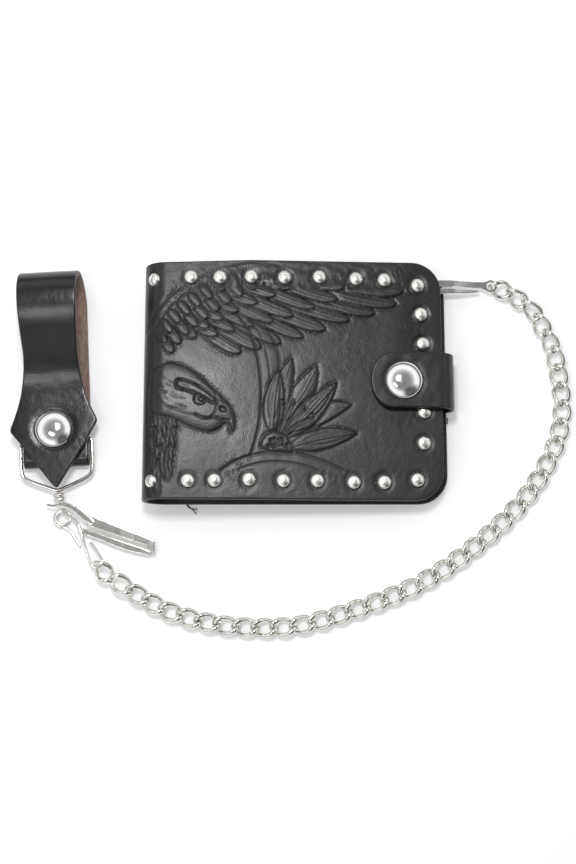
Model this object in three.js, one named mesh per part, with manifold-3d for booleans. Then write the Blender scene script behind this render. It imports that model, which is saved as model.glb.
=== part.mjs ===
// Chain wallet: a studded leather bifold with a snap tab, a curb chain and a folding belt loop.
// Millimetres, +Z up. The wallet lies closed on its back cover, spine to the left (-X).
import * as THREE from 'three';
import { mergeVertices } from 'three/addons/utils/BufferGeometryUtils.js';
import Module from 'manifold-3d';

const wasm = await Module();
wasm.setup();

// ---------- driving dimensions ----------
// The layout is drawn about the wallet's middle and then shifted, so that the origin is
// under the middle of the wallet, strap and clips together (the free chain left out).
const SHIFT_X = 12.3;
const SHIFT_Y = -6.2;

// wallet
const LEATHER = 2.0; // cover leather
const LINING = 1.0; // bill lining
const POCKET = 0.8; // card pocket leather
const GAP = 0.3; // air between pieces that touch in use
const WALLET_Y0 = -30.0; // lower edge
const WALLET_Y1 = 68.3; // upper edge
const SPINE_Y1 = 66.8; // upper edge at the spine, where the leather draws in
const SPINE_X = -49.3; // centre line of the spine's bend
const SPINE_R = 9.0; // outer radius of the bend
const BACK_X1 = 64.5; // opening edge of the back cover
const FRONT_LENGTH = 111.2; // spine to opening edge, measured along the front cover
const COVER_TILT = 3.4; // degrees the front cover slopes down to its opening edge
const CORNER_R = 12.0;
const INNER_X0 = -45.0; // inner pieces start clear of the bend
const INNER_X1 = 58.8; // and end clear of the closing tab

// closing tab
const TAB_Y = 18.0;
const TAB_WIDTH = 23.4;
const TAB_LEATHER = 1.8;
const TAB_X = 60.25; // centre line of the tab's bend round the opening edge
const TAB_Z = 9.1;
const TAB_R = 6.8; // outer radius of that bend
const TAB_FLAP = 27.6; // bend to rounded end

// press snaps
const SNAP_X = 95.4; // along the front cover from the spine
const CAP_R = 7.6;
const CAP_H = 3.4;
const POST_R = 1.3;

// dome studs: distance from the spine's centre line, height up the cover
const STUD_R = 2.85;
const STUD_H = 2.1;
const TOP_ROW = [[9.6, 60.3], [21.3, 60.4], [33.9, 60.9], [47.4, 60.8], [61.6, 61.2], [76.5, 60.7],
  [88.1, 60.4], [101.7, 58.4]];
const SIDE_ROW = [[102.8, 46.3], [103.5, 33.9], [103.6, 19.9], [103.6, 5.9], [103.3, -6.9]];
const BOTTOM_ROW = [[9.3, -22.8], [19.8, -22.6], [33.4, -22.1], [47.0, -22.5], [60.5, -22.4],
  [75.0, -22.9], [87.2, -22.8], [100.4, -21.8]];
const SPINE_STUD_ANGLE = 34; // degrees down from the top of the bend
const SPINE_STUD_Y = [59.6, -22.9];

// belt-loop strap, drawn about its snap, with +Y up the strap
const STRAP_AT = [-94.2, -0.6];
const STRAP_TURN = 3.2; // degrees
const STRAP_LEATHER = 1.9;
const STRAP_FOLD_Y = 53.8; // centre of the top bend
const STRAP_R = 11.0; // outer radius of the top bend
const STRAP_WIDTH = 23.6;
const POCKET_END = -14.6; // lower end of the pocket that holds the ring
const STRAP_UPPER_Z = 4.3; // underside of the pocket's upper layer
const STRAP_FRONT_Z = 7.8; // underside of the front leaf over the snap

// ring, clips and chain
const RING_WIRE = 0.85;
const HOOK_WIRE = 0.55;
const LINK_WIRE = 0.95;
const LINK_HALF_LENGTH = 4.75; // centre line
const LINK_HALF_WIDTH = 2.95;
const CHAIN_Z = 3.2;
const CHAIN_STAND_IN_R = 2.5; // plain tube that weighs what the chain weighs

const deg = THREE.MathUtils.degToRad;

// ---------- materials ----------
const looks = {
  blackLeather: { color: 0x17171a, roughness: 0.42, metalness: 0.0 },
  strapLeather: { color: 0x121214, roughness: 0.34, metalness: 0.0 },
  lining: { color: 0x1d1b1a, roughness: 0.7, metalness: 0.0 },
  clearSheet: { color: 0xdfe6ea, roughness: 0.12, metalness: 0.0 },
  nickel: { color: 0xd9d6cd, roughness: 0.14, metalness: 1.0 },
  chrome: { color: 0xe4e4e4, roughness: 0.08, metalness: 1.0 },
};

const root = new THREE.Group();
root.position.set(SHIFT_X, SHIFT_Y, 0);

function add(name, geometry, look, parent = root, place = [0, 0, 0]) {
  const mesh = new THREE.Mesh(geometry, new THREE.MeshStandardMaterial(looks[look]));
  mesh.name = name;
  mesh.position.set(...place);
  parent.add(mesh);
  return mesh;
}

// ---------- shape helpers ----------
// Flat piece: an outline in plan, from z0 up.
function plate(shape, z0, thickness, curveSegments = 6) {
  const g = new THREE.ExtrudeGeometry(shape, { depth: thickness, bevelEnabled: false, curveSegments });
  g.translate(0, 0, z0);
  return g;
}

// Outline in X and Z, run along Y.
function alongY(shape, y0, y1, curveSegments = 6) {
  const g = new THREE.ExtrudeGeometry(shape, { depth: y1 - y0, bevelEnabled: false, curveSegments });
  g.rotateX(Math.PI / 2);
  g.translate(0, y1, 0);
  return g;
}

// Outline in Y and Z, run along X.
function alongX(shape, x0, x1, curveSegments = 6) {
  const g = new THREE.ExtrudeGeometry(shape, { depth: x1 - x0, bevelEnabled: false, curveSegments });
  g.rotateX(Math.PI / 2);
  g.rotateZ(Math.PI / 2);
  g.translate(x0, 0, 0);
  return g;
}

// Part of a ring between two angles, as an outline.
function ringSector(cx, cy, rOut, rIn, a0, a1, steps) {
  const s = new THREE.Shape();
  for (let i = 0; i <= steps; i += 1) {
    const a = deg(a0 + ((a1 - a0) * i) / steps);
    const p = [cx + rOut * Math.cos(a), cy + rOut * Math.sin(a)];
    if (i === 0) s.moveTo(...p);
    else s.lineTo(...p);
  }
  for (let i = steps; i >= 0; i -= 1) {
    const a = deg(a0 + ((a1 - a0) * i) / steps);
    s.lineTo(cx + rIn * Math.cos(a), cy + rIn * Math.sin(a));
  }
  s.closePath();
  return s;
}

function polygon(points) {
  return new THREE.Shape(points.map(([x, y]) => new THREE.Vector2(x, y)));
}

// Round hole, wound against the outline it is cut from.
function hole(shape, x, y, r) {
  const p = new THREE.Path();
  p.absarc(x, y, r, 0, Math.PI * 2, !THREE.ShapeUtils.isClockWise(shape.getPoints()));
  shape.holes.push(p);
  return shape;
}

// Turned piece about the Z axis; the profile starts and ends on the axis or closes on itself.
function turned(profile, segments = 16) {
  const g = new THREE.LatheGeometry(profile.map(([r, z]) => new THREE.Vector2(r, z)), segments);
  g.rotateX(Math.PI / 2);
  return g;
}

// Round wire along an open line.
function wire(points, radius, steps, sides = 8) {
  const path = new THREE.CatmullRomCurve3(points.map((p) => new THREE.Vector3(...p)), false, 'centripetal');
  const section = new THREE.Shape();
  section.absarc(0, 0, radius, 0, Math.PI * 2, false);
  return new THREE.ExtrudeGeometry(section, {
    steps, extrudePath: path, bevelEnabled: false, curveSegments: sides / 2,
  });
}

function solid(geometry) {
  const g = geometry.clone();
  g.deleteAttribute('normal');
  g.deleteAttribute('uv');
  const m = mergeVertices(g, 1e-4);
  return new wasm.Manifold(new wasm.Mesh({
    numProp: 3,
    vertProperties: new Float32Array(m.attributes.position.array),
    triVerts: new Uint32Array(m.index.array),
  }));
}

function geometryOf(manifold) {
  const m = manifold.getMesh();
  const g = new THREE.BufferGeometry();
  g.setAttribute('position', new THREE.BufferAttribute(m.vertProperties, 3));
  g.setIndex(new THREE.BufferAttribute(m.triVerts, 1));
  g.computeVertexNormals();
  return g;
}

const common = (a, b) => geometryOf(solid(a).intersect(solid(b)));
const joined = (a, b) => geometryOf(solid(a).add(solid(b)));

// ---------- wallet: outlines ----------
// Cover outline: square at the spine, round at the opening edge, drawn in a little at the top left.
function coverOutline(x0, x1, y0, y1, yLeft, r) {
  const s = new THREE.Shape();
  s.moveTo(x0, y0);
  s.lineTo(x1 - r, y0);
  s.absarc(x1 - r, y0 + r, r, -Math.PI / 2, 0, false);
  s.lineTo(x1, y1 - r);
  s.absarc(x1 - r, y1 - r, r, 0, Math.PI / 2, false);
  s.lineTo(x0 + 34, y1 + 0.2);
  s.lineTo(x0, yLeft);
  s.closePath();
  return s;
}

// The front cover and all that rides on it: local X runs down the slope, local Z is its outside.
const front = new THREE.Group();
front.position.set(SPINE_X, 0, SPINE_R);
front.rotation.y = deg(COVER_TILT);
root.add(front);

// ---------- wallet: covers and spine ----------
const EDGE_GAP = 0.8; // where the rigid covers stop short of the bend
const EYELET = [47.0, 61.0];
const backShape = coverOutline(SPINE_X + EDGE_GAP, BACK_X1, WALLET_Y0, WALLET_Y1, SPINE_Y1, CORNER_R);
hole(backShape, ...EYELET, 3.3);
add('back_cover', plate(backShape, 0, LEATHER), 'blackLeather');

const frontShape = coverOutline(EDGE_GAP, FRONT_LENGTH, WALLET_Y0, WALLET_Y1, SPINE_Y1, CORNER_R);
hole(frontShape, SNAP_X, TAB_Y, 1.7);
add('front_cover', plate(frontShape, SPINE_R - LEATHER, LEATHER), 'blackLeather', front);

const spineShape = ringSector(
  SPINE_X, SPINE_R, SPINE_R, SPINE_R - LEATHER, 90 - COVER_TILT, 270, 16);
add('spine_fold', alongY(spineShape, WALLET_Y0, SPINE_Y1), 'blackLeather');

// ---------- wallet: inside ----------
function insideOutline(x0, x1, y0, y1, r) {
  return coverOutline(x0, x1, y0, y1, y1, r);
}

// Bill lining of the back cover, cut away round the sewn-in end of the tab.
const TAB_HALF = TAB_WIDTH / 2;
const backLiningShape = polygon([
  [INNER_X0, WALLET_Y0 + 1], [INNER_X1 - 8, WALLET_Y0 + 1], [INNER_X1, WALLET_Y0 + 9],
  [INNER_X1, TAB_Y - TAB_HALF - 0.6], [41.4, TAB_Y - TAB_HALF - 0.6],
  [41.4, TAB_Y + TAB_HALF + 0.6], [INNER_X1, TAB_Y + TAB_HALF + 0.6],
  [INNER_X1, WALLET_Y1 - 9], [INNER_X1 - 8, WALLET_Y1 - 1.5], [INNER_X0, WALLET_Y1 - 2.6]]);
hole(backLiningShape, ...EYELET, 3.3);
const LINING_Z = LEATHER + GAP;
add('back_bill_lining', plate(backLiningShape, LINING_Z, LINING), 'lining');

const POCKET_X1 = 40.6; // card pockets stop short of the tab's sewn end
const backPockets = [['back_card_pocket_low', 36], ['back_card_pocket_high', 46]];
backPockets.reverse().forEach(([name, top], i) => {
  const z = LINING_Z + LINING + GAP + i * (POCKET + GAP);
  const shape = insideOutline(INNER_X0 + 1, POCKET_X1, WALLET_Y0 + 1.5, top, 2);
  add(name, plate(shape, z, POCKET, 2), 'lining');
});

const FRONT_X0 = 4.3;
const FRONT_X1 = INNER_X1 - SPINE_X - 0.4;
const frontLiningZ = SPINE_R - LEATHER - GAP - LINING;
const frontLining = insideOutline(FRONT_X0, FRONT_X1, WALLET_Y0 + 1, WALLET_Y1 - 2.8, 8);
hole(frontLining, SNAP_X, TAB_Y, 4.4);
add('front_bill_lining', plate(frontLining, frontLiningZ, LINING, 3), 'lining', front);

// Left inner side: one plain card pocket with a windowed pocket over it.
const pocketZ = frontLiningZ - GAP - POCKET;
const frontPocket = insideOutline(FRONT_X0 + 1, 88, WALLET_Y0 + 1.5, 46, 2);
add('front_card_pocket', plate(frontPocket, pocketZ, POCKET, 2), 'lining', front);
const windowZ = pocketZ - GAP - POCKET;
const windowFrame = insideOutline(FRONT_X0 + 1, 88, WALLET_Y0 + 1.5, 36, 2);
const opening = new THREE.Path();
opening.moveTo(20, -22);
opening.lineTo(20, 27);
opening.lineTo(78, 27);
opening.lineTo(78, -22);
opening.closePath();
windowFrame.holes.push(opening);
add('id_window_frame', plate(windowFrame, windowZ, POCKET, 2), 'lining', front);
add('id_window_sheet', plate(polygon([[20.4, -21.6], [77.6, -21.6], [77.6, 26.6], [20.4, 26.6]]),
  windowZ + 0.1, 0.4), 'clearSheet', front);

// ---------- closing tab ----------
const tabY0 = TAB_Y - TAB_HALF;
const tabY1 = TAB_Y + TAB_HALF;
add('tab_base', plate(polygon([[42, tabY0], [TAB_X - 0.9, tabY0], [TAB_X - 0.9, tabY1], [42, tabY1]]),
  LINING_Z, TAB_LEATHER), 'blackLeather');
const tabWrap = ringSector(TAB_X, TAB_Z, TAB_R, TAB_R - TAB_LEATHER, -90, 90 - COVER_TILT, 12);
add('tab_wrap', alongY(tabWrap, tabY0, tabY1), 'blackLeather');

// The flap lies along the front cover, so it is drawn in a group with the same slope.
const flapGroup = new THREE.Group();
flapGroup.position.set(TAB_X, 0, TAB_Z);
flapGroup.rotation.y = deg(COVER_TILT);
root.add(flapGroup);
const flapShape = new THREE.Shape();
flapShape.moveTo(-0.7, tabY0);
flapShape.lineTo(-0.7, tabY1);
flapShape.lineTo(-TAB_FLAP + 9, tabY1);
flapShape.absellipse(-TAB_FLAP + 9, TAB_Y, 9, TAB_HALF, Math.PI / 2, (Math.PI * 3) / 2, false);
flapShape.closePath();
const SNAP_ON_FLAP = -14.3;
hole(flapShape, SNAP_ON_FLAP, TAB_Y, 1.7);
add('tab_flap', plate(flapShape, TAB_R - TAB_LEATHER, TAB_LEATHER, 8), 'blackLeather', flapGroup);

// ---------- press snaps ----------
// Cap: a shallow dome with a rolled rim and a post that goes down through the leather.
function snapCap(postLength) {
  return turned([[0, -postLength], [POST_R, -postLength], [POST_R, GAP], [CAP_R - 0.6, GAP],
    [CAP_R, 0.8], [CAP_R - 0.5, 1.5], [CAP_R * 0.68, 2.7], [CAP_R * 0.36, 3.3], [0, CAP_H]], 24);
}
// Socket: a flat ring under the leather, round the snap stud.
const socket = () => turned([[2.4, 0], [5.0, 0], [5.0, 1.0], [2.4, 1.0], [2.4, 0]], 20);
// Snap stud: a small mushroom on the piece below.
const snapStud = () => turned([[0, 0], [1.5, 0], [1.5, 0.3], [1.9, 0.6], [1.6, 0.95], [0, 0.95]], 16);

add('tab_snap_cap', snapCap(TAB_LEATHER - 0.1), 'chrome', flapGroup, [SNAP_ON_FLAP, TAB_Y, TAB_R]);
add('tab_snap_socket', socket(), 'nickel', flapGroup,
  [SNAP_ON_FLAP, TAB_Y, TAB_R - TAB_LEATHER - GAP - 1.0]);
// The tab's stud is riveted through the front cover, with its flange inside.
const coverStud = turned([[0, -LEATHER - GAP - 0.7], [3.6, -LEATHER - GAP - 0.7],
  [3.6, -LEATHER - GAP], [POST_R, -LEATHER - GAP], [POST_R, 0.35], [1.8, 0.7], [1.5, 1.0],
  [0, 1.0]], 16);
add('tab_snap_stud', coverStud, 'nickel', front, [SNAP_X, TAB_Y, SPINE_R]);

// ---------- dome studs ----------
const studProfile = [[0, 0], [STUD_R, 0], [STUD_R * 0.92, 0.8], [STUD_R * 0.62, 1.65], [0, STUD_H]];
const number = (n) => String(n).padStart(2, '0');
let studCount = 0;
for (const [x, y] of [...TOP_ROW, ...SIDE_ROW, ...[...BOTTOM_ROW].reverse()]) {
  studCount += 1;
  add(`dome_stud_${number(studCount)}`, turned(studProfile, 12), 'nickel', front,
    [x, y, SPINE_R + 0.15]);
}
for (const y of SPINE_STUD_Y) {
  studCount += 1;
  const bend = new THREE.Group();
  bend.position.set(SPINE_X, y, SPINE_R);
  bend.rotation.y = deg(-SPINE_STUD_ANGLE);
  root.add(bend);
  add(`dome_stud_${number(studCount)}`, turned(studProfile, 12), 'nickel', bend,
    [0, 0, SPINE_R + 0.3]);
}

// ---------- wallet end of the chain ----------
const eyelet = turned([[2.4, 0.3], [3.0, 0.3], [3.0, 3.6], [4.6, 3.6], [4.6, 4.0], [3.0, 4.2],
  [2.4, 3.9], [2.4, 0.3]], 16);
add('corner_eyelet', eyelet, 'nickel', root, [...EYELET, 0]);

// Both clips lie flat. Seen from the side the wallet's clip slopes from the bill space to the chain.
const clipSlope = polygon([[44, 4.7], [68, 4.7], [78, 2.8], [90, 2.8], [90, 4.0], [78.3, 4.0],
  [68.3, 6.1], [44, 6.1]]);
const EYE = [83.8, 60.6];
const clipPlan = new THREE.Shape();
clipPlan.moveTo(45.6, 62.8);
clipPlan.lineTo(80.6, 62.4);
clipPlan.absarc(...EYE, 3.0, Math.PI * 0.75, -Math.PI * 0.75, true);
clipPlan.lineTo(79.4, 59.6);
clipPlan.lineTo(68.6, 60.3);
clipPlan.lineTo(67.2, 59.8);
clipPlan.lineTo(49.4, 59.8);
clipPlan.lineTo(49.4, 59.4);
clipPlan.lineTo(47.6, 59.4);
clipPlan.lineTo(47.6, 55.4);
clipPlan.lineTo(45.6, 55.4);
clipPlan.closePath();
hole(clipPlan, ...EYE, 1.85);
const tongue = plate(polygon([[46.1, 60.1], [47.9, 60.1], [47.9, 61.9], [46.1, 61.9]]), 0.6, 5.0);
const clipStrip = common(plate(clipPlan, 0, 8), alongY(clipSlope, 50, 66));
add('wallet_clip_body', joined(clipStrip, tongue), 'nickel');
const gatePlan = polygon([[48.1, 59.1], [67, 59.2], [78.9, 59.0], [78.9, 57.9], [67, 56.9],
  [48.1, 56.2]]);
add('wallet_clip_gate', common(plate(gatePlan, 0, 8), alongY(clipSlope, 50, 66)), 'nickel');

// ---------- chain ----------
// A curb link: an oval loop of wire, twisted from one end to the other so that it lies flat.
class LinkCurve extends THREE.Curve {
  constructor(startTwist, endTwist) {
    super();
    this.middle = (startTwist + endTwist) / 2;
    this.half = (endTwist - startTwist) / 2;
  }

  getPoint(t, target = new THREE.Vector3()) {
    const a = t * Math.PI * 2;
    const along = LINK_HALF_LENGTH * Math.sign(Math.cos(a)) * Math.abs(Math.cos(a)) ** 0.9;
    const across = LINK_HALF_WIDTH * Math.sin(a);
    const twist = deg(this.middle + this.half * (along / LINK_HALF_LENGTH));
    return target.set(along, across * Math.cos(twist), across * Math.sin(twist));
  }
}
// An end link stands on edge where it hangs on a clip or hook.
const CURB_TWIST = 42; // degrees at a link's ends
const ON_EDGE = -88;
function link(name, x, y, z, heading) {
  const g = new THREE.TubeGeometry(new LinkCurve(ON_EDGE, CURB_TWIST), 28, LINK_WIRE, 8, true);
  const mesh = add(name, g, 'nickel', root, [x, y, z]);
  mesh.rotation.z = deg(heading);
}
link('chain_first_link', 88.1, 59.2, CHAIN_Z + 0.4, -18);

// The free chain itself, as a plain round stand-in that lies on the surface.
const CHAIN_LINE = [[94.4, 55.6], [100.6, 50.2], [105.4, 41.5], [108.5, 34.1], [110.2, 26.4],
  [111.3, 18.5], [111.7, 10.5], [110.9, 2.9], [108.9, -4.3], [105.9, -11.1], [102.4, -17.6],
  [98.4, -23.7], [93.7, -29.6], [88.5, -35.0], [82.9, -40.3], [77.1, -45.3], [71.1, -50.0],
  [64.8, -54.5], [58.4, -58.6], [52.0, -62.3], [45.3, -65.4], [38.4, -68.2], [31.3, -70.8],
  [24.2, -73.2], [17.2, -75.4], [10.0, -77.4], [2.5, -78.8], [-4.9, -79.4], [-12.0, -79.5],
  [-19.4, -79.1], [-26.9, -78.3], [-34.1, -77.0], [-41.1, -75.2], [-47.8, -72.8], [-54.5, -69.6],
  [-61.0, -65.9], [-66.4, -62.4]];
add('chain', wire(CHAIN_LINE.map(([x, y]) => [x, y, CHAIN_STAND_IN_R + 0.1]), CHAIN_STAND_IN_R, 60),
  'nickel');
link('chain_last_link', -73.7, -57.2, CHAIN_Z + 0.4, -46);

// ---------- strap end of the chain: sprung wire hook ----------
const COIL = [-90.6, -35.6];
const COIL_R = 3.5;
const hookLine = [[-83.2, -47.2, 0.8], [-85.0, -44.6, 0.8], [-87.2, -41.4, 0.8]];
for (let a = -80; a >= -680; a -= 30) {
  const turns = (-80 - a) / 360;
  hookLine.push([COIL[0] + COIL_R * Math.cos(deg(a)), COIL[1] + COIL_R * Math.sin(deg(a)),
    0.75 + 1.3 * turns]);
}
hookLine.push([-85.2, -36.8, 3.4], [-83.2, -40.6, 3.8], [-81.8, -45.0, 3.9], [-79.9, -50.8, 3.7],
  [-78.4, -54.5, 3.6], [-77.2, -55.6, 3.6], [-75.5, -55.4, 3.6], [-74.2, -54.2, 3.6],
  [-74.3, -52.6, 3.5], [-76.6, -49.0, 2.6], [-79.4, -45.4, 1.6]);
add('chain_hook', wire(hookLine, HOOK_WIRE, 96), 'nickel');

// ---------- key clip and swivel ----------
const SWIVEL_TILT = 12; // degrees
const barrel = turned([[0, 0], [1.5, 0], [1.9, 0.5], [1.9, 1.5], [1.4, 1.8], [1.9, 2.1], [1.9, 3.0],
  [1.5, 3.5], [0, 3.5]], 14);
barrel.rotateX(-Math.PI / 2);
const barrelMesh = add('swivel_barrel', barrel, 'nickel', root, [-91.6, -29.4, 3.2]);
barrelMesh.rotation.z = deg(SWIVEL_TILT);

const neckPlan = polygon([[-92.2, -29.9], [-90.4, -29.6], [-86.2, -30.6], [-79.6, -35.2],
  [-77.6, -38.4], [-79.6, -38.6], [-81.4, -36.8], [-87.0, -32.3], [-92.0, -31.2]]);
const bodyPlan = polygon([[-81.0, -35.5], [-79.2, -35.0], [-54.0, -44.6], [-52.9, -45.8],
  [-52.9, -50.2], [-54.2, -50.2], [-54.2, -47.7], [-80.8, -38.9]]);
add('key_clip_body', joined(plate(neckPlan, 3.6, 1.3), plate(bodyPlan, 1.0, 2.9)), 'nickel');
const keyGatePlan = polygon([[-84.6, -39.6], [-81.5, -39.7], [-66.0, -45.0], [-54.7, -48.7],
  [-54.7, -51.4], [-66.8, -48.3], [-84.2, -41.9]]);
add('key_clip_gate', plate(keyGatePlan, 0.6, 1.9), 'nickel');

// ---------- belt-loop strap ----------
const strap = new THREE.Group();
strap.position.set(...STRAP_AT, 0);
strap.rotation.z = deg(STRAP_TURN);
root.add(strap);

// Ring: a bar in the strap's pocket, straight sides and a shallow point at the swivel.
const ringLine = new THREE.CurvePath();
const ringPoints = [[-13.6, -3.0], [13.6, -3.0], [14.5, -4.2], [14.5, -16.0], [12.6, -19.2],
  [1.0, -24.0], [-1.0, -24.0], [-12.6, -19.2], [-14.5, -16.0], [-14.5, -4.2], [-13.6, -3.0]];
for (let i = 0; i < ringPoints.length - 1; i += 1) {
  const a = new THREE.Vector3(...ringPoints[i], 3.15);
  const b = new THREE.Vector3(...ringPoints[i + 1], 3.15);
  ringLine.add(new THREE.LineCurve3(a, b));
}
add('strap_ring', new THREE.TubeGeometry(ringLine, 56, RING_WIRE, 8, true), 'nickel', strap);

// Back leaf: flat on the table, folded up and over at its lower end to hold the ring's bar.
const T = STRAP_LEATHER;
const upperTop = STRAP_UPPER_Z + T;
const backProfile = new THREE.Shape();
backProfile.moveTo(STRAP_FOLD_Y - 0.6, 0);
backProfile.lineTo(STRAP_FOLD_Y - 0.6, T);
backProfile.lineTo(POCKET_END + 3.1, T);
backProfile.absarc(POCKET_END + 3.1, upperTop / 2, upperTop / 2 - T, -Math.PI / 2, Math.PI / 2, true);
backProfile.lineTo(10, STRAP_UPPER_Z);
backProfile.lineTo(12, STRAP_UPPER_Z + 0.6);
backProfile.lineTo(12, upperTop);
backProfile.lineTo(POCKET_END + 3.1, upperTop);
backProfile.absarc(POCKET_END + 3.1, upperTop / 2, upperTop / 2, Math.PI / 2, -Math.PI / 2, false);
backProfile.closePath();
const W = STRAP_WIDTH / 2;
// The back leaf lies a little to the right of the front one, so its inside shows.
const SKEW = 2.0;
const backPlan = polygon([[-13.0, -20], [13.2, -20], [13.2, 0], [14.0, 10], [W + SKEW, 30],
  [W + SKEW, STRAP_FOLD_Y + 2], [-W + 1, STRAP_FOLD_Y + 2], [-W + 1, 30], [-13.0, 6]]);
const backLeaf = common(plate(backPlan, -1, 12), alongX(backProfile, -16, 16));
add('strap_back_leaf', backLeaf, 'strapLeather', strap);

const foldShape = ringSector(STRAP_FOLD_Y, STRAP_R, STRAP_R, STRAP_R - T, -90, 90, 16);
add('strap_fold', alongX(foldShape, -W, W + SKEW / 2), 'strapLeather', strap);

// Front leaf: from the top bend down in an S to the snap, flared to two points and a tip.
const frontProfile = new THREE.Shape();
const topZ = 2 * STRAP_R;
frontProfile.moveTo(STRAP_FOLD_Y - 0.6, topZ);
frontProfile.bezierCurveTo(38, topZ, 30, STRAP_FRONT_Z + T, 13, STRAP_FRONT_Z + T);
frontProfile.lineTo(-26, STRAP_FRONT_Z + T);
frontProfile.lineTo(-26, STRAP_FRONT_Z);
frontProfile.lineTo(13, STRAP_FRONT_Z);
frontProfile.bezierCurveTo(30, STRAP_FRONT_Z, 38, topZ - T, STRAP_FOLD_Y - 0.6, topZ - T);
const leafPlan = polygon([[-W, STRAP_FOLD_Y + 2], [-11.4, 40], [-10.9, 30], [-11.9, 20], [-14.4, 9],
  [-17.5, 0.4], [-13.4, -5.6], [-1.2, -22.4], [0.6, -23.6], [1.8, -22.4], [12.6, -6.0],
  [17.5, 1.6], [14.6, 9], [11.9, 20], [10.9, 30], [11.4, 40], [W, STRAP_FOLD_Y + 2]].reverse());
hole(leafPlan, 0, 0, 1.7);
const frontLeaf = common(plate(leafPlan, 0, 30), alongX(frontProfile, -20, 20, 10));
add('strap_front_leaf', frontLeaf, 'strapLeather', strap);

add('loop_snap_cap', snapCap(T - 0.1), 'chrome', strap, [0, 0, STRAP_FRONT_Z + T]);
add('loop_snap_socket', socket(), 'nickel', strap, [0, 0, STRAP_FRONT_Z - GAP - 1.0]);
add('loop_snap_stud', snapStud(), 'nickel', strap, [0, 0, upperTop + GAP]);

export default root;
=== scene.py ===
# %% [markdown]
# A leather bifold wallet on a curb chain, held by a folding belt loop. The imported model gives the
# exact size and place of all 56 parts, so it is loaded first and kept as a fixed frame. The pieces
# made here replace those parts; an unbent piece rides on its part's moving body, while a bent one
# is only baked in place.

# %% Load the frame
import math
import bmesh
import bpy
import numpy as np
from mathutils import Matrix, Vector


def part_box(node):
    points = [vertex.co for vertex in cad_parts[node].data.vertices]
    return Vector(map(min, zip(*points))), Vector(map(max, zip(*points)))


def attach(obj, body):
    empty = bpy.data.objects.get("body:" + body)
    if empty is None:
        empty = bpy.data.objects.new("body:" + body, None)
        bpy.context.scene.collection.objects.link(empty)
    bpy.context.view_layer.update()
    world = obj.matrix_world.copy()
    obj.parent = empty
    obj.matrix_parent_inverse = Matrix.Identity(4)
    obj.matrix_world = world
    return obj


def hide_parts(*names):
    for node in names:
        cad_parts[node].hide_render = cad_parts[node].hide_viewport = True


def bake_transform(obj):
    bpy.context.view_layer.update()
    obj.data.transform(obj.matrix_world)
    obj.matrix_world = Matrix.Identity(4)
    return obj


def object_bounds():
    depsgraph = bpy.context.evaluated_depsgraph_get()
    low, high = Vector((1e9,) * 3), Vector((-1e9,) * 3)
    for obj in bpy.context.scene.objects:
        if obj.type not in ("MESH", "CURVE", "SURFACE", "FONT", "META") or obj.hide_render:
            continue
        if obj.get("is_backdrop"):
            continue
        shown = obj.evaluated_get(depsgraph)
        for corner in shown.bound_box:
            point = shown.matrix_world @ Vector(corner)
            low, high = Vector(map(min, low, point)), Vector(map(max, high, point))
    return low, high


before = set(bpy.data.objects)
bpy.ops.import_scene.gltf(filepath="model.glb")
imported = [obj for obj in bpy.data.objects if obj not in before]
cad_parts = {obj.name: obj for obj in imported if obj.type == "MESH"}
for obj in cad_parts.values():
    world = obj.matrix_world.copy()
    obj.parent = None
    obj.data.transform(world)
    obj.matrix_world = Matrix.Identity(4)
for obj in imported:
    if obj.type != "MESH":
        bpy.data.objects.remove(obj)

cad_box = [list(map(float, corner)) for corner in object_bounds()]
print("CAD box", [[round(v, 4) for v in corner] for corner in cad_box])

# %% [markdown]
# The wallet is laid out in millimetres about its own middle, as a maker would draw it. The back
# cover's box says where that drawing lies in the frame, so one small function turns a point on the
# drawing into metres in the frame, and another says where on the drawing a CAD part's middle is.

# %% From the maker's drawing to the frame
back_low, back_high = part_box("back_cover")
ORIGIN = np.array([back_high[0] - 0.0645, back_low[1] + 0.030, 0.0])


def at(points):
    return np.asarray(points, float) * 0.001 + ORIGIN


def box_middle(cad):
    low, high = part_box(cad)
    return ((np.array(low) + np.array(high)) / 2 - ORIGIN) * 1000


print("drawing origin", ORIGIN.round(4))

# %% [markdown]
# The wallet is looked at from nearly straight above, a little from its lower edge. A long lens
# keeps the outlines square, and the camera is put where the studs and both ends of the chain fall
# right.

# %% Camera
scene = bpy.context.scene
camera = bpy.data.objects.new("camera", bpy.data.cameras.new("camera"))
scene.collection.objects.link(camera)
camera.data.lens = 61.25
camera.data.clip_start = 0.01
eye, target = Vector(at([0, -114.5, 589])), Vector(at([0, 0, 0]))
camera.location = eye
camera.rotation_euler = (target - eye).to_track_quat("-Z", "Y").to_euler()
scene.camera = camera
scene.view_settings.view_transform = "Standard"
print("camera at", [round(v, 3) for v in eye])

# %% [markdown]
# Finishes come from a few node recipes: a soft cloud of noise for uneven dye, small cells for the
# grain of leather, and a bump that stacks one height on another. All of them read Object
# coordinates, which are metres here, so a scale of 1000 is one cell per millimetre.

# %% Helpers for finishes
def finish(name, colour, roughness, metallic=0.0, specular=0.5):
    material = bpy.data.materials.new(name)
    material.use_nodes = True
    shader = material.node_tree.nodes["Principled BSDF"]
    shader.inputs["Base Color"].default_value = (*colour, 1)
    shader.inputs["Roughness"].default_value = roughness
    shader.inputs["Metallic"].default_value = metallic
    shader.inputs["Specular IOR Level"].default_value = specular
    return material, shader


def node(material, kind, **settings):
    made = material.node_tree.nodes.new(kind)
    for key, value in settings.items():
        if key in made.inputs:
            made.inputs[key].default_value = value
        else:
            setattr(made, key, value)
    return made


def wire_up(material, source, target):
    material.node_tree.links.new(source, target)


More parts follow.
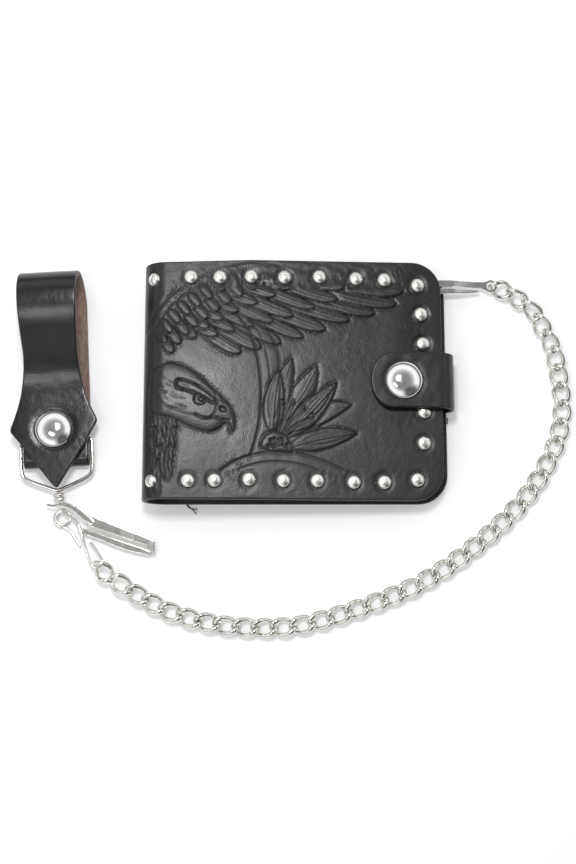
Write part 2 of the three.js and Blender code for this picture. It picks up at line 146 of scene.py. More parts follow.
def object_space(material, stretch=(1, 1, 1), turn=0.0):
    place = node(material, "ShaderNodeTexCoord")
    mapping = node(material, "ShaderNodeMapping")
    mapping.inputs["Scale"].default_value = stretch
    mapping.inputs["Rotation"].default_value = (0, 0, math.radians(turn))
    wire_up(material, place.outputs["Object"], mapping.inputs["Vector"])
    return mapping.outputs["Vector"]


def cloud(material, scale, detail=3.0, stretch=(1, 1, 1), turn=0.0):
    noise = node(material, "ShaderNodeTexNoise", Scale=scale, Detail=detail)
    wire_up(material, object_space(material, stretch, turn), noise.inputs["Vector"])
    return noise.outputs["Fac"]


def cells(material, scale, stretch=(1, 1, 1)):
    voronoi = node(material, "ShaderNodeTexVoronoi", Scale=scale)
    wire_up(material, object_space(material, stretch), voronoi.inputs["Vector"])
    return voronoi.outputs["Distance"]


def painted(material, name):
    return node(material, "ShaderNodeAttribute", attribute_name=name).outputs["Fac"]


def times(material, a, b):
    product = node(material, "ShaderNodeMath", operation="MULTIPLY")
    for socket, value in zip(product.inputs, (a, b)):
        if isinstance(value, float):
            socket.default_value = value
        else:
            wire_up(material, value, socket)
    return product.outputs["Value"]


def spread(material, source, low, high, start=0.3, end=0.7):
    span = node(material, "ShaderNodeMapRange")
    for name, value in (("From Min", start), ("From Max", end), ("To Min", low), ("To Max", high)):
        span.inputs[name].default_value = value
    wire_up(material, source, span.inputs["Value"])
    return span.outputs["Result"]


def tint(material, source, first, second, start=0.3, end=0.7):
    ramp = node(material, "ShaderNodeValToRGB")
    ramp.color_ramp.elements[0].position = start
    ramp.color_ramp.elements[1].position = end
    ramp.color_ramp.elements[0].color = (*first, 1)
    ramp.color_ramp.elements[1].color = (*second, 1)
    wire_up(material, source, ramp.inputs["Fac"])
    return ramp.outputs["Color"]


def blend_colour(material, factor, first, second):
    mix = node(material, "ShaderNodeMix", data_type="RGBA")
    wire_up(material, factor, mix.inputs[0])
    for socket, value in ((mix.inputs[6], first), (mix.inputs[7], second)):
        if isinstance(value, tuple):
            socket.default_value = (*value, 1)
        else:
            wire_up(material, value, socket)
    return mix.outputs[2]


def relief(material, shader, *layers):
    normal = None
    for height, strength, depth in layers:
        bump = node(material, "ShaderNodeBump", Strength=strength, Distance=depth)
        wire_up(material, height, bump.inputs["Height"])
        if normal is not None:
            wire_up(material, normal, bump.inputs["Normal"])
        normal = bump.outputs["Normal"]
    wire_up(material, normal, shader.inputs["Normal"])


# %% [markdown]
# Vegetable-tanned leather takes black dye unevenly, in soft patches, and smooth, raised parts catch
# a grey sheen. Two values stored on the mesh say where the carving tool and the stippling tool
# went.
# Along the cuts the colour is darkened toward near black as painted shade of the grooves, and the
# gloss roughens there; the stippled ground gets a fine bump.

# %% Finish: carved black leather
def black_leather(name, dark, light, roughness, grain=1.0, carved=False):
    m, shader = finish(name, light, roughness, specular=0.5)
    patches = cloud(m, 45, 4.0)
    fine = cloud(m, 420, 3.0)
    colour = tint(m, patches, dark, light)
    # Painted shade: the colour is darkened toward near black along the knife cuts and stud rings.
    if carved:
        colour = blend_colour(m, times(m, painted(m, "cut_shade"), 0.4), colour,
                              tuple(0.3 * c for c in dark))
    wire_up(m, colour, shader.inputs["Base Color"])
    gloss = spread(m, patches, roughness - 0.05, roughness + 0.07)
    if carved:
        rougher = node(m, "ShaderNodeMath", operation="MULTIPLY_ADD")
        wire_up(m, painted(m, "cut_shade"), rougher.inputs[0])
        rougher.inputs[1].default_value = 0.15
        wire_up(m, gloss, rougher.inputs[2])
        gloss = rougher.outputs["Value"]
    wire_up(m, gloss, shader.inputs["Roughness"])
    layers = [(cells(m, 1900), 0.22 * grain, 0.00012), (fine, 0.35 * grain, 0.00025),
              (cloud(m, 90, 4.0), 0.25 * grain, 0.0008)]
    if carved:
        layers.append((times(m, painted(m, "stipple"), cells(m, 1150)), 0.5, 0.0003))
    relief(m, shader, *layers)
    return m


tooled = black_leather("tooled_black_leather", (0.005, 0.005, 0.006), (0.015, 0.0155, 0.018), 0.335,
                       carved=True)
plain = black_leather("plain_black_leather", (0.005, 0.005, 0.006), (0.012, 0.012, 0.014), 0.34)
strap_black = black_leather("strap_black_leather", (0.006, 0.006, 0.007), (0.011, 0.011, 0.012),
                            0.22, grain=0.7)
print("leathers", tooled.name, plain.name, strap_black.name)

# %% [markdown]
# The inside of the strap is the raw flesh side, brown and hairy. Cut edges are rubbed with dark
# wax. The pockets are thin leather with a printed pebble grain, and the card window is soft clear
# vinyl.

# %% Finishes: flesh side, edges, lining, window and thread
suede, shader = finish("brown_flesh_side", (0.13, 0.085, 0.065), 0.92, specular=0.2)
shader.inputs["Sheen Weight"].default_value = 0.35
shader.inputs["Sheen Roughness"].default_value = 0.5
fibre = cloud(suede, 900, 5.0, (1, 0.35, 1))
colour = blend_colour(suede, cloud(suede, 1600, 2.0),
                      tint(suede, fibre, (0.150, 0.100, 0.080), (0.420, 0.320, 0.270)),
                      (0.24, 0.17, 0.14))
wire_up(suede, colour, shader.inputs["Base Color"])
relief(suede, shader, (fibre, 0.6, 0.0006), (cloud(suede, 2500, 2.0), 0.4, 0.0002))


def edge_finish(name, first, second):
    m, shader = finish(name, first, 0.5)
    layer = cloud(m, 700, 4.0, (1, 1, 3))
    wire_up(m, tint(m, layer, first, second), shader.inputs["Base Color"])
    wire_up(m, spread(m, layer, 0.42, 0.62), shader.inputs["Roughness"])
    relief(m, shader, (layer, 0.4, 0.0003))
    return m


black_edge = edge_finish("waxed_black_edge", (0.004, 0.004, 0.005), (0.014, 0.013, 0.014))
brown_edge = edge_finish("waxed_brown_edge", (0.010, 0.008, 0.008), (0.055, 0.040, 0.035))

lining, shader = finish("pebbled_lining_leather", (0.018, 0.017, 0.017), 0.55)
pebble = cells(lining, 1100)
wire_up(lining, tint(lining, cloud(lining, 60), (0.012, 0.011, 0.011), (0.026, 0.024, 0.024)),
        shader.inputs["Base Color"])
wire_up(lining, spread(lining, cloud(lining, 300), 0.48, 0.64), shader.inputs["Roughness"])
relief(lining, shader, (pebble, 0.5, 0.0003), (cloud(lining, 120), 0.3, 0.0006))

vinyl, shader = finish("clear_vinyl", (0.92, 0.95, 0.96), 0.12)
shader.inputs["Transmission Weight"].default_value = 0.9
shader.inputs["IOR"].default_value = 1.45
ripple = cloud(vinyl, 35, 2.0)
wire_up(vinyl, spread(vinyl, ripple, 0.08, 0.2), shader.inputs["Roughness"])
relief(vinyl, shader, (ripple, 0.25, 0.001))

thread, shader = finish("waxed_black_thread", (0.012, 0.012, 0.012), 0.5)
twist = node(thread, "ShaderNodeTexWave", Scale=900, Distortion=0.6)
wire_up(thread, object_space(thread, turn=35), twist.inputs["Vector"])
wire_up(thread, tint(thread, twist.outputs["Fac"], (0.006, 0.006, 0.006), (0.030, 0.029, 0.028)),
        shader.inputs["Base Color"])
relief(thread, shader, (twist.outputs["Fac"], 0.5, 0.0001))
print("inside finishes", suede.name, lining.name, vinyl.name, thread.name)

# %% [markdown]
# The fittings are nickel plate, slightly warm and a little hazy from handling. The two press-snap
# caps are brighter chrome. Both get fine scratches in their gloss, never in their colour alone.

# %% Finishes: nickel and chrome
def plated(name, colour, shade, low, high, dent):
    m, shader = finish(name, colour, low, metallic=1.0)
    haze = cloud(m, 260, 4.0)
    scratches = cloud(m, 900, 3.0, (1, 0.06, 1), 30)
    wire_up(m, tint(m, haze, shade, colour, 0.25, 0.6), shader.inputs["Base Color"])
    wire_up(m, spread(m, scratches, low, high, 0.4, 0.75), shader.inputs["Roughness"])
    relief(m, shader, (haze, dent, 0.0004), (scratches, 0.06, 0.00005))
    return m


nickel = plated("nickel_plate", (0.80, 0.79, 0.76), (0.68, 0.66, 0.62), 0.12, 0.18, 0.04)
chain_nickel = plated("chain_nickel", (0.84, 0.83, 0.79), (0.62, 0.61, 0.56), 0.08, 0.18, 0.06)
stud_nickel = plated("stud_nickel", (0.93, 0.92, 0.87), (0.84, 0.82, 0.76), 0.24, 0.36, 0.12)
chrome = plated("chrome_cap", (0.93, 0.93, 0.92), (0.86, 0.85, 0.82), 0.10, 0.15, 0.02)
print("metals", nickel.name, chain_nickel.name, stud_nickel.name, chrome.name)

# %% [markdown]
# Three habits keep the pieces tidy. Everything is deselected before a new start shape is added. A
# finished piece has no modifier left on it and its mesh lies in place. And each piece is given its
# finishes and the CAD parts it stands for in one call, which keeps the choice of finish that its
# faces already have: grain, cut edge or underside. The same call hangs an unbent piece on its body;
# a piece given a bend is only baked in place, and its bend and bodies are not used.

# %% Helpers for pieces
def clear_selection():
    bpy.ops.object.select_all(action="DESELECT")


def select_only(piece):
    clear_selection()
    piece.select_set(True)
    bpy.context.view_layer.objects.active = piece


def apply_modifier(piece, kind, **settings):
    select_only(piece)
    modifier = piece.modifiers.new(kind.lower(), kind)
    for key, value in settings.items():
        setattr(modifier, key, value)
    bpy.ops.object.modifier_apply(modifier=modifier.name)


def smooth(piece, angle=40):
    select_only(piece)
    bpy.ops.object.shade_smooth_by_angle(angle=math.radians(angle))


def face_outwards(piece, merge=None):
    select_only(piece)
    bpy.ops.object.mode_set(mode="EDIT")
    bpy.ops.mesh.select_all(action="SELECT")
    if merge is not None:
        bpy.ops.mesh.remove_doubles(threshold=merge)
    bpy.ops.mesh.normals_make_consistent(inside=False)
    bpy.ops.object.mode_set(mode="OBJECT")


def new_piece(name, points, faces):
    mesh = bpy.data.meshes.new(name)
    mesh.from_pydata(points, [], faces)
    piece = bpy.data.objects.new(name, mesh)
    scene.collection.objects.link(piece)
    return piece


def join_to(piece, *others):
    select_only(piece)
    for other in others:
        other.select_set(True)
    bpy.ops.object.join()


def move_points(piece, change):
    mesh = piece.data
    points = np.empty(len(mesh.vertices) * 3)
    mesh.vertices.foreach_get("co", points)
    points = np.asarray(change(points.reshape(-1, 3)), float)
    mesh.vertices.foreach_set("co", points.ravel())
    mesh.update()


def seat(piece, body, materials, nodes=(), bend=None):
    materials = materials if isinstance(materials, (list, tuple)) else [materials]
    kinds = np.empty(len(piece.data.polygons), np.int32)
    piece.data.polygons.foreach_get("material_index", kinds)
    piece.data.materials.clear()
    for material in materials:
        piece.data.materials.append(material)
    piece.data.polygons.foreach_set("material_index", kinds)
    if bend is None:
        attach(piece, body)
    else:
        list(body)
        tuple(at(bend[0]))
        tuple(at(bend[1]))
        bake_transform(piece)
    if nodes:
        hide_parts(*nodes)
    print(piece.name, len(piece.data.polygons), "faces")
    return piece


def smooth_line(points, count=200, closed=False):
    points = np.asarray(points, float)
    if closed:
        points = np.vstack([points[-1:], points, points[:2]])
    else:
        points = np.vstack([2 * points[0] - points[1], points, 2 * points[-1] - points[-2]])
    made = []
    for a, b, c, d in zip(points[:-3], points[1:-2], points[2:-1], points[3:]):
        t = np.linspace(0, 1, 12, endpoint=False)[:, None]
        made.append(0.5 * (2 * b + (c - a) * t + (2 * a - 5 * b + 4 * c - d) * t ** 2
                           + (3 * b - 3 * c + d - a) * t ** 3))
    made = np.vstack(made + [points[-2:-1]])
    return even_line(made, count)


def even_line(points, count):
    points = np.asarray(points, float)
    run = np.r_[0, np.cumsum(np.linalg.norm(np.diff(points, axis=0), axis=1))]
    where = np.linspace(0, run[-1], count)
    return np.stack([np.interp(where, run, points[:, k]) for k in range(points.shape[1])], 1)


def rounded(points, passes=3):
    points = np.asarray(points, float)
    for _ in range(passes):
        after = np.roll(points, -1, axis=0)
        first, second = 0.8 * points + 0.2 * after, 0.2 * points + 0.8 * after
        points = np.stack([first, second], 1).reshape(-1, points.shape[1])
    return points


print("helpers ready")

# %% [markdown]
# All wire parts are made the same way: a line of points gets a round bevel, and the tube is turned
# into a mesh. Where a wire ends, its last points are thinner, so the cut end looks filed.

# %% Helper for wire
def wire_piece(name, points, radius, closed=False, sides=3, thin=None):
    clear_selection()
    points = at(points)
    curve = bpy.data.curves.new(name, "CURVE")
    curve.dimensions = "3D"
    curve.bevel_depth = radius / 1000
    curve.bevel_resolution = sides
    curve.use_fill_caps = not closed
    curve.twist_smooth = 0
    line = curve.splines.new("POLY")
    line.points.add(len(points) - 1)
    for k, point in enumerate(points):
        line.points[k].co = (*point, 1)
        if thin is not None:
            line.points[k].radius = thin[k]
    line.use_cyclic_u = closed
    piece = bpy.data.objects.new(name, curve)
    scene.collection.objects.link(piece)
    select_only(piece)
    bpy.ops.object.convert(target="MESH")
    piece = bpy.context.view_layer.objects.active
    piece.name = name
    face_outwards(piece, merge=1e-6)
    smooth(piece, 60)
    return piece


def filed_ends(count, tip=0.55):
    thin = np.ones(count)
    thin[0] = thin[-1] = tip
    return thin


print("wire helper ready")

# %% [markdown]
# The chain is a curb chain: oval loops of wire, each twisted by the same angle from one end to the
# other, so that they lie flat. One link is modelled with a shallow seam where its wire was closed,
# then copied along the chain's line at the distance at which two links just touch. The chain lies
# on the table in one long sweep from the wallet's clip to the hook.

# %% One curb link
WIRE, HALF_LONG, HALF_WIDE = 1.0, 4.8, 3.15
SEAM = 0.86  # how much thinner the wire is where it was closed


def link_line(first_twist, last_twist, count=44):
    a = np.arange(count) / count * 2 * math.pi
    along = HALF_LONG * np.sign(np.cos(a)) * np.abs(np.cos(a)) ** 0.9
    wide = HALF_WIDE * np.sin(a)
    twist = np.radians((first_twist + last_twist) / 2
                       + (last_twist - first_twist) / 2 * along / HALF_LONG)
    return np.stack([along, wide * np.cos(twist), wide * np.sin(twist)], 1)


def link_piece(name, first_twist, last_twist):
    line = link_line(first_twist, last_twist)
    thin = np.ones(len(line))
    thin[len(line) * 3 // 4] = SEAM
    return wire_piece(name, line - ORIGIN * 1000, WIRE, closed=True, sides=3, thin=thin)


def turned(points, heading):
    c, s = math.cos(math.radians(heading)), math.sin(math.radians(heading))
    x, y = points[:, 0] * c - points[:, 1] * s, points[:, 0] * s + points[:, 1] * c
    return np.stack([x, y, points[:, 2]], 1)


one_link = link_piece("one_link", 50, -50)
link_points = np.array([v.co for v in one_link.data.vertices])
link_faces = np.array([list(p.vertices) for p in one_link.data.polygons])
link_height = -link_points[:, 2].min() * 1000
bpy.data.objects.remove(one_link)
print("one link", len(link_faces), "faces, lies", round(link_height, 2), "mm above the table")

# %% The chain's line
CHAIN_LINE = [
    (94.4, 55.6), (100.6, 50.2), (105.4, 41.5), (108.5, 34.1), (110.2, 26.4), (111.3, 18.5),
    (111.7, 10.5), (110.9, 2.9), (108.9, -4.3), (105.9, -11.1), (102.4, -17.6), (98.4, -23.7),
    (93.7, -29.6), (88.5, -35.0), (82.9, -40.3), (77.1, -45.3), (71.1, -50.0), (64.8, -54.5),
    (58.4, -58.6), (52.0, -62.3), (45.3, -65.4), (38.4, -68.2), (31.3, -70.8), (24.2, -73.2),
    (17.2, -75.4), (10.0, -77.4), (2.5, -78.8), (-4.9, -79.4), (-12.0, -79.5), (-19.4, -79.1),
    (-26.9, -78.3), (-34.1, -77.0), (-41.1, -75.2), (-47.8, -72.8), (-54.5, -69.6), (-61.0, -65.9),
    (-66.4, -62.4)]
flat_line = smooth_line([(*p, 0) for p in CHAIN_LINE], 400)
chain_run = float(np.linalg.norm(np.diff(flat_line, axis=0), axis=1).sum())
LINK_STEP = 7.6  # two links just touch at this distance
LINKS = int(math.ceil(chain_run / LINK_STEP)) + 1
centres = even_line(flat_line, LINKS)
lift = np.zeros(LINKS)
END_LIFT = (1.3, 0.55, 0.15)  # the clip and the hook hold the first and last links up
lift[:3], lift[-3:] = END_LIFT, END_LIFT[::-1]
centres[:, 2] = link_height + 0.02 + lift
print(LINKS, "links,", round(chain_run, 1), "mm of free chain, pitch",
      round(chain_run / (LINKS - 1), 2))

# %% The free chain
FIRST_ROLL = (38, 52, 40, 46, 24, 9)  # degrees that the chain is turned over as it leaves the clip
points, faces = [], []
for k, centre in enumerate(centres):
    ahead = centres[min(k + 1, LINKS - 1)] - centres[max(k - 1, 0)]
    heading = math.degrees(math.atan2(ahead[1], ahead[0]))
    wobble = 5.0 * math.sin(2.7 * k) + 3.0 * math.sin(1.3 * k + 1)
    tipped = link_points.copy()
    turned_over = FIRST_ROLL[k] if k < len(FIRST_ROLL) else 0
    roll = math.radians(4.0 * math.sin(1.9 * k + 0.5) + turned_over)
    y, z = tipped[:, 1].copy(), tipped[:, 2].copy()
    tipped[:, 1], tipped[:, 2] = (y * math.cos(roll) - z * math.sin(roll),
                                  y * math.sin(roll) + z * math.cos(roll))
    moved = turned(tipped, heading + 0.5 * wobble)
    moved += at(centre)
    moved[:, 2] += max(0.0, 0.00003 - moved[:, 2].min())
    points.append(moved)
    faces.append(link_faces + k * len(link_points))
curb_chain = new_piece("curb_chain", np.vstack(points).tolist(), np.vstack(faces).tolist())
smooth(curb_chain, 60)
seat(curb_chain, "wallet_back", chain_nickel, ["chain"])

# %% The two end links
for name, cad, centre, heading in (("wallet_end_link", "chain_first_link", (88.1, 59.2, 3.6), -18),
                                   ("hook_end_link", "chain_last_link", (-73.7, -57.2, 3.6), -46)):
    piece = link_piece(name, 88, -48)
    move_points(piece, lambda p, c=centre, h=heading: turned(p, h) + at(c))
    seat(piece, "wallet_back", chain_nickel, [cad])

# %% Points along the chain's line, not used further
PATH_POINTS = 160
chain_path = at(np.c_[even_line(flat_line, PATH_POINTS)[:, :2],
                      np.full(PATH_POINTS, link_height)])

# %% [markdown]
# Every leather part is a flat pattern bent along a line: the covers run round the spine, the tab
# round the opening edge, the strap over its top bend. So one helper lays a grid on the flat
# pattern, pulls its border down a little for the rounded, rubbed edge, and gives it an underside
# and a cut edge. Borders get their own fine grid lines, and the rest of the grid is only as fine
# as it must be.

# %% Helper: a piece of leather from its flat pattern
CROWN_STEPS = (0.0, 0.1, 0.25, 0.45, 0.7)


def grid_lines(low, high, step, corner=0.0, open_start=False, open_end=False):
    near = list(CROWN_STEPS)
    if corner:
        near += [corner * (1 - math.cos(math.radians(a))) for a in range(12, 91, 6)]
    near = sorted(near)
    head = [0.0] if open_start else near
    tail = [0.0] if open_end else near
    first, last = low + head[-1], high - tail[-1]
    middle = np.linspace(first, last, max(2, int(round((last - first) / step)) + 1))
    lines = np.r_[[low + d for d in head[:-1]], middle, [high - d for d in tail[:-1][::-1]]]
    keep = np.r_[True, np.diff(lines) > 0.045]
    keep[-1] = True
    return lines[keep]


def squeezed(S, tail, end, long):
    return np.where(S > tail, tail + (S - tail) * (end - tail) / (long - tail), S)


def round_corners(S, T, long, low, high, corner, tail):
    deep = np.clip(corner - np.minimum(T - low, high - T), 0, corner)
    end = long - (corner - np.sqrt(np.maximum(corner ** 2 - deep ** 2, 0)))
    return squeezed(S, tail, end, long)


def border_distance(S, T, skip):
    n, m = S.shape
    far = np.full((n, m), 9.0)
    rings = {"start": (S[0, :], T[0, :]), "end": (S[-1, :], T[-1, :]),
             "low": (S[:, 0], T[:, 0]), "high": (S[:, -1], T[:, -1])}
    segments = []
    for side, (s, t) in rings.items():
        if side not in skip:
            segments.append(np.stack([s[:-1], t[:-1], s[1:], t[1:]], 1))
    segments = np.vstack(segments)
    near = np.zeros((n, m), bool)
    near[:14, :] = near[-14:, :] = near[:, :14] = near[:, -14:] = True
    where = np.argwhere(near)
    for chunk in np.array_split(where, max(1, len(where) // 1500)):
        s, t = S[chunk[:, 0], chunk[:, 1]][:, None], T[chunk[:, 0], chunk[:, 1]][:, None]
        a, b = segments[:, 0][None], segments[:, 1][None]
        ds, dt = segments[:, 2][None] - a, segments[:, 3][None] - b
        along = np.clip(((s - a) * ds + (t - b) * dt) / np.maximum(ds * ds + dt * dt, 1e-9), 0, 1)
        far[chunk[:, 0], chunk[:, 1]] = np.hypot(s - a - along * ds, t - b - along * dt).min(1)
    return far


def leather_piece(name, S, T, place, thick, crown=0.5, skip=(), height=None, paint=None,
                  light_under=False):
    n, m = S.shape
    edge = border_distance(S, T, skip)
    inward = np.clip(crown - edge, 0, crown)
    drop = crown - np.sqrt(np.maximum(crown ** 2 - inward ** 2, 0))
    raised = 0.0 if height is None else height * np.clip(edge / 1.2, 0, 1)
    top = place(S, T, raised - drop)
    ring = ([(i, 0) for i in range(n)] + [(n - 1, j) for j in range(1, m)]
            + [(i, m - 1) for i in range(n - 2, -1, -1)] + [(0, j) for j in range(m - 2, 0, -1)])
    index = np.arange(n * m).reshape(n, m)
    quads = np.stack([index[:-1, :-1], index[1:, :-1], index[1:, 1:], index[:-1, 1:]],
                     -1).reshape(-1, 4)
    faces, kinds = quads.tolist(), [0] * len(quads)
    i, j = np.array(ring).T
    if light_under:
        under = place(S, T, np.full_like(S, -thick))[i, j]
        below = {pair: n * m + k for k, pair in enumerate(ring)}
        for k in range(n - 1):
            loop = [(k, 0), (k + 1, 0)]
            if k == n - 2:
                loop += [(n - 1, q) for q in range(1, m - 1)]
            loop += [(k + 1, m - 1), (k, m - 1)]
            if k == 0:
                loop += [(0, q) for q in range(m - 2, 0, -1)]
            faces.append([below[pair] for pair in loop][::-1])
            kinds.append(2)
    else:
        soft = 0.25 - np.sqrt(np.maximum(0.25 ** 2 - np.clip(0.25 - edge, 0, 0.25) ** 2, 0))
        under = place(S, T, soft - thick).reshape(-1, 3)
        below = {pair: n * m + pair[0] * m + pair[1] for pair in ring}
        faces += (quads[:, ::-1] + n * m).tolist()
        kinds += [2] * len(quads)
    for a, b in zip(ring, ring[1:] + ring[:1]):
        faces.append([index[b], index[a], below[a], below[b]])
        kinds.append(1)
    points = np.vstack([top.reshape(-1, 3), under])
    piece = new_piece(name, at(points).tolist(), [[int(v) for v in f] for f in faces])
    mesh = piece.data
    mesh.polygons.foreach_set("material_index", kinds)
    flat = np.stack([S, T], -1).reshape(-1, 2) / 100
    flat = np.vstack([flat, flat if not light_under else flat.reshape(n, m, 2)[i, j]])
    corners = np.empty(len(mesh.loops), int)
    mesh.loops.foreach_get("vertex_index", corners)
    mesh.uv_layers.new(name="pattern").data.foreach_set("uv", flat[corners].ravel())
    for key, values in (paint or {}).items():
        layer = mesh.attributes.new(key, "FLOAT", "POINT")
        layer.data.foreach_set("value", np.r_[values.ravel(), np.zeros(len(under))])
    face_outwards(piece)
    smooth(piece, 50)
    return piece


print("leather helper ready")

# %% [markdown]
# The front is carved with a spread wing along the top, the head of a bird of prey below it and an
# open lily beside a tall leaf, all drawn as one height map. The maker cuts a line with a swivel
# knife, presses one side of it down, and domes what is left standing, and the helpers do the same.
# Shapes drawn later lie over those drawn earlier, as feathers do.

# %% Height map for the carving
STEP = 0.2
map_x = np.arange(-16, 114, STEP)
map_y = np.arange(-32, 71, STEP)
GX, GY = np.meshgrid(map_x, map_y, indexing="ij")
carve = np.zeros_like(GX)
# How deep in a knife cut each spot lies; the finish darkens the colour there as painted shade of
# the grooves and roughens the gloss.
cut_shade = np.zeros_like(GX)
worked = np.zeros_like(GX)


def window(points, margin):
    low, high = np.min(points, 0) - margin, np.max(points, 0) + margin
    a = np.clip(((low[:2] - (map_x[0], map_y[0])) / STEP).astype(int), 0, None)
    b = ((high[:2] - (map_x[0], map_y[0])) / STEP).astype(int) + 1
    return slice(a[0], max(b[0], a[0] + 1)), slice(a[1], max(b[1], a[1] + 1))


def measure(line, X, Y):
    best = np.full(X.shape, 1e9)
    side, run = np.zeros(X.shape), np.zeros(X.shape)
    lengths = np.r_[0, np.cumsum(np.linalg.norm(np.diff(line, axis=0), axis=1))]
    for k in range(len(line) - 1):
        (ax, ay), (bx, by) = line[k], line[k + 1]
        dx, dy = bx - ax, by - ay
        t = np.clip(((X - ax) * dx + (Y - ay) * dy) / (dx * dx + dy * dy + 1e-9), 0, 1)
        d = np.hypot(X - ax - t * dx, Y - ay - t * dy)
        near = d < best
        best[near] = d[near]
        side[near] = np.sign(dx * (Y - ay) - dy * (X - ax))[near]
        run[near] = ((lengths[k] + t * (lengths[k + 1] - lengths[k])) / lengths[-1])[near]
    return best, side, run


def knife(points, width=0.32, depth=0.30, press=0.0, reach=1.6):
    line = smooth_line([(*p, 0) for p in points], 40)[:, :2]
    w = window(line, 3 * reach)
    d, side, _ = measure(line, GX[w], GY[w])
    if press:
        down = (np.sign(press) * side > 0) * abs(press) * np.exp(-(d / reach))
        carve[w] -= down
    groove = np.exp(-(d / width) ** 2)
    carve[w] -= depth * groove
    cut_shade[w] = np.maximum(cut_shade[w], groove)
    worked[w] = np.maximum(worked[w], d < 1.2)


def bent(base, tip, bow, count=22):
    base, tip = np.array(base, float), np.array(tip, float)
    across = np.array([-(tip - base)[1], (tip - base)[0]]) * bow
    t = np.linspace(0, 1, count)[:, None]
    return (1 - t) ** 2 * base + 2 * t * (1 - t) * ((base + tip) / 2 + across) + t ** 2 * tip


def blade(base, tip, half, bow=0.0, lift=0.35, dome=0.12, pointed=False, quill=0.10, barbs=0.03,
          outline=0.30):
    line = bent(base, tip, bow)
    w = window(line, half + 3.5)
    X, Y = GX[w], GY[w]
    d, side, t = measure(line, X, Y)
    if pointed:
        wide = half * np.sin(np.pi * np.clip(t, 0, 1) ** 0.85) ** 0.75
    else:
        end = np.clip((t - 0.62) / 0.38, 0, 1)
        wide = half * np.minimum(1, (0.25 + t * 3)) * np.sqrt(np.maximum(1 - end ** 2, 0))
    wide = np.maximum(wide, 1e-3)
    gap = d - wide
    inside = gap < 0
    ratio = np.clip(d / wide, 0, 1)
    height = lift * (0.35 + 0.65 * t) + dome * (1 - ratio ** 2)
    run = t * np.linalg.norm(np.array(tip) - np.array(base))
    height += (barbs * np.sin(2 * np.pi * (run * 0.9 - d * 1.1) / 1.25)
               * (ratio > 0.2) * (ratio < 0.9))
    if quill:
        height += quill * np.exp(-(d / 0.22) ** 2) - quill * np.exp(-((d - 0.6) / 0.22) ** 2)
    pressed = -0.30 * np.exp(-np.maximum(gap, 0) / 0.75)
    carve[w] = np.where(inside, height, carve[w] + pressed * np.clip((t - 0.1) * 3, 0, 1))
    line_mark = np.exp(-(gap / outline) ** 2) * np.clip(t * 4, 0, 1)
    carve[w] -= 0.22 * line_mark
    cut_shade[w] = np.where(inside, 0.0, cut_shade[w])
    cut_shade[w] = np.maximum(cut_shade[w], line_mark)
    if quill:
        cut_shade[w] = np.maximum(cut_shade[w], 0.45 * np.exp(-((d - 0.6) / 0.2) ** 2) * inside)
    worked[w] = np.where(inside, 1.0, worked[w])


def bead(x, y, r, height=0.3):
    w = window(np.array([[x, y]]), r + 2)
    d = np.hypot(GX[w] - x, GY[w] - y)
    carve[w] = np.where(d < r, height * np.sqrt(np.maximum(1 - (d / r) ** 2, 0)) + 0.15, carve[w])
    ring = np.exp(-((d - r) / 0.26) ** 2)
    carve[w] -= 0.25 * ring
    cut_shade[w] = np.maximum(cut_shade[w], ring)


print("height map", carve.shape)

# %% The wing
rng = np.random.default_rng(7)


def row(bases, tips, half, bow, **more):
    for (b, t) in zip(bases, tips):
        blade(b, t, half * rng.uniform(0.9, 1.08), bow + rng.uniform(-0.02, 0.02), **more)


long_tips = [(30, 29.5), (38, 31.5), (46, 33.5), (55, 36), (64, 39.5), (74, 43.5), (84, 46.5),
             (93, 50.5), (96, 56), (92, 62.5), (84, 66.5)]
long_bases = [(14, 40), (19, 43.5), (24, 46.5), (30, 49), (37, 51.5), (45, 53.5), (54, 55.5),
              (62, 57), (66, 60), (64, 63.5), (58, 66)]
row(long_bases, long_tips, 3.0, -0.07, lift=0.42, dome=0.10)
middle_tips = [(20.5, 36.5), (27.5, 38.5), (35, 40.5), (43, 42.5), (51, 45), (60, 48.5), (69, 52),
               (73, 57.5), (70, 63)]
middle_bases = [(7, 45), (11.5, 48), (16.5, 50.5), (22, 53), (29, 55), (37, 57.5), (46, 59.5),
                (51, 62), (49, 65)]
row(middle_bases, middle_tips, 2.7, -0.06, lift=0.40, dome=0.12)
short_tips = [(12, 35.5), (17, 39.5), (22.5, 43), (29, 46.5), (36.5, 50), (44, 53.5), (51, 57),
              (54, 61.5)]
short_bases = [(3, 43), (6.5, 47), (11, 50), (16, 53), (22.5, 55.5), (29.5, 58.5), (36, 61.5),
               (39, 65)]
row(short_bases, short_tips, 2.5, -0.05, lift=0.40, dome=0.14)
top_bases = [(66, 68.5), (56, 68), (45, 67.2), (34, 65.8), (24, 63.6)]
top_tips = [(95, 65.6), (84, 64.6), (72, 63.2), (60, 61.6), (48, 59.6)]
row(top_bases, top_tips, 2.5, -0.04, lift=0.38, dome=0.12)
for x, y in [(1.5, 31), (4.2, 34.8), (7.4, 38.6), (11, 42), (15, 45.4), (19.4, 48.6), (24, 51.8),
             (29, 55), (34.5, 58)]:
    blade((x - 4.2, y + 4.2), (x + 1.2, y - 2.2), 2.15, 0.06, lift=0.42, dome=0.2, quill=0.05,
          barbs=0.0)
for x, y in [(-1.6, 34.8), (0.6, 39.2), (3.8, 43.2), (7.6, 46.8), (11.8, 50.2), (16.4, 53.6),
             (21.4, 56.8), (26.8, 60)]:
    blade((x - 3.4, y + 3.6), (x + 1.5, y - 1.9), 1.9, 0.05, lift=0.44, dome=0.2, quill=0.0,
          barbs=0.0)
knife([(-9, 38.5), (-4.5, 46), (2, 53.2), (9.5, 59), (18.5, 63.6), (28, 66.6), (40, 68.2)],
      0.4, 0.4, press=0.22)
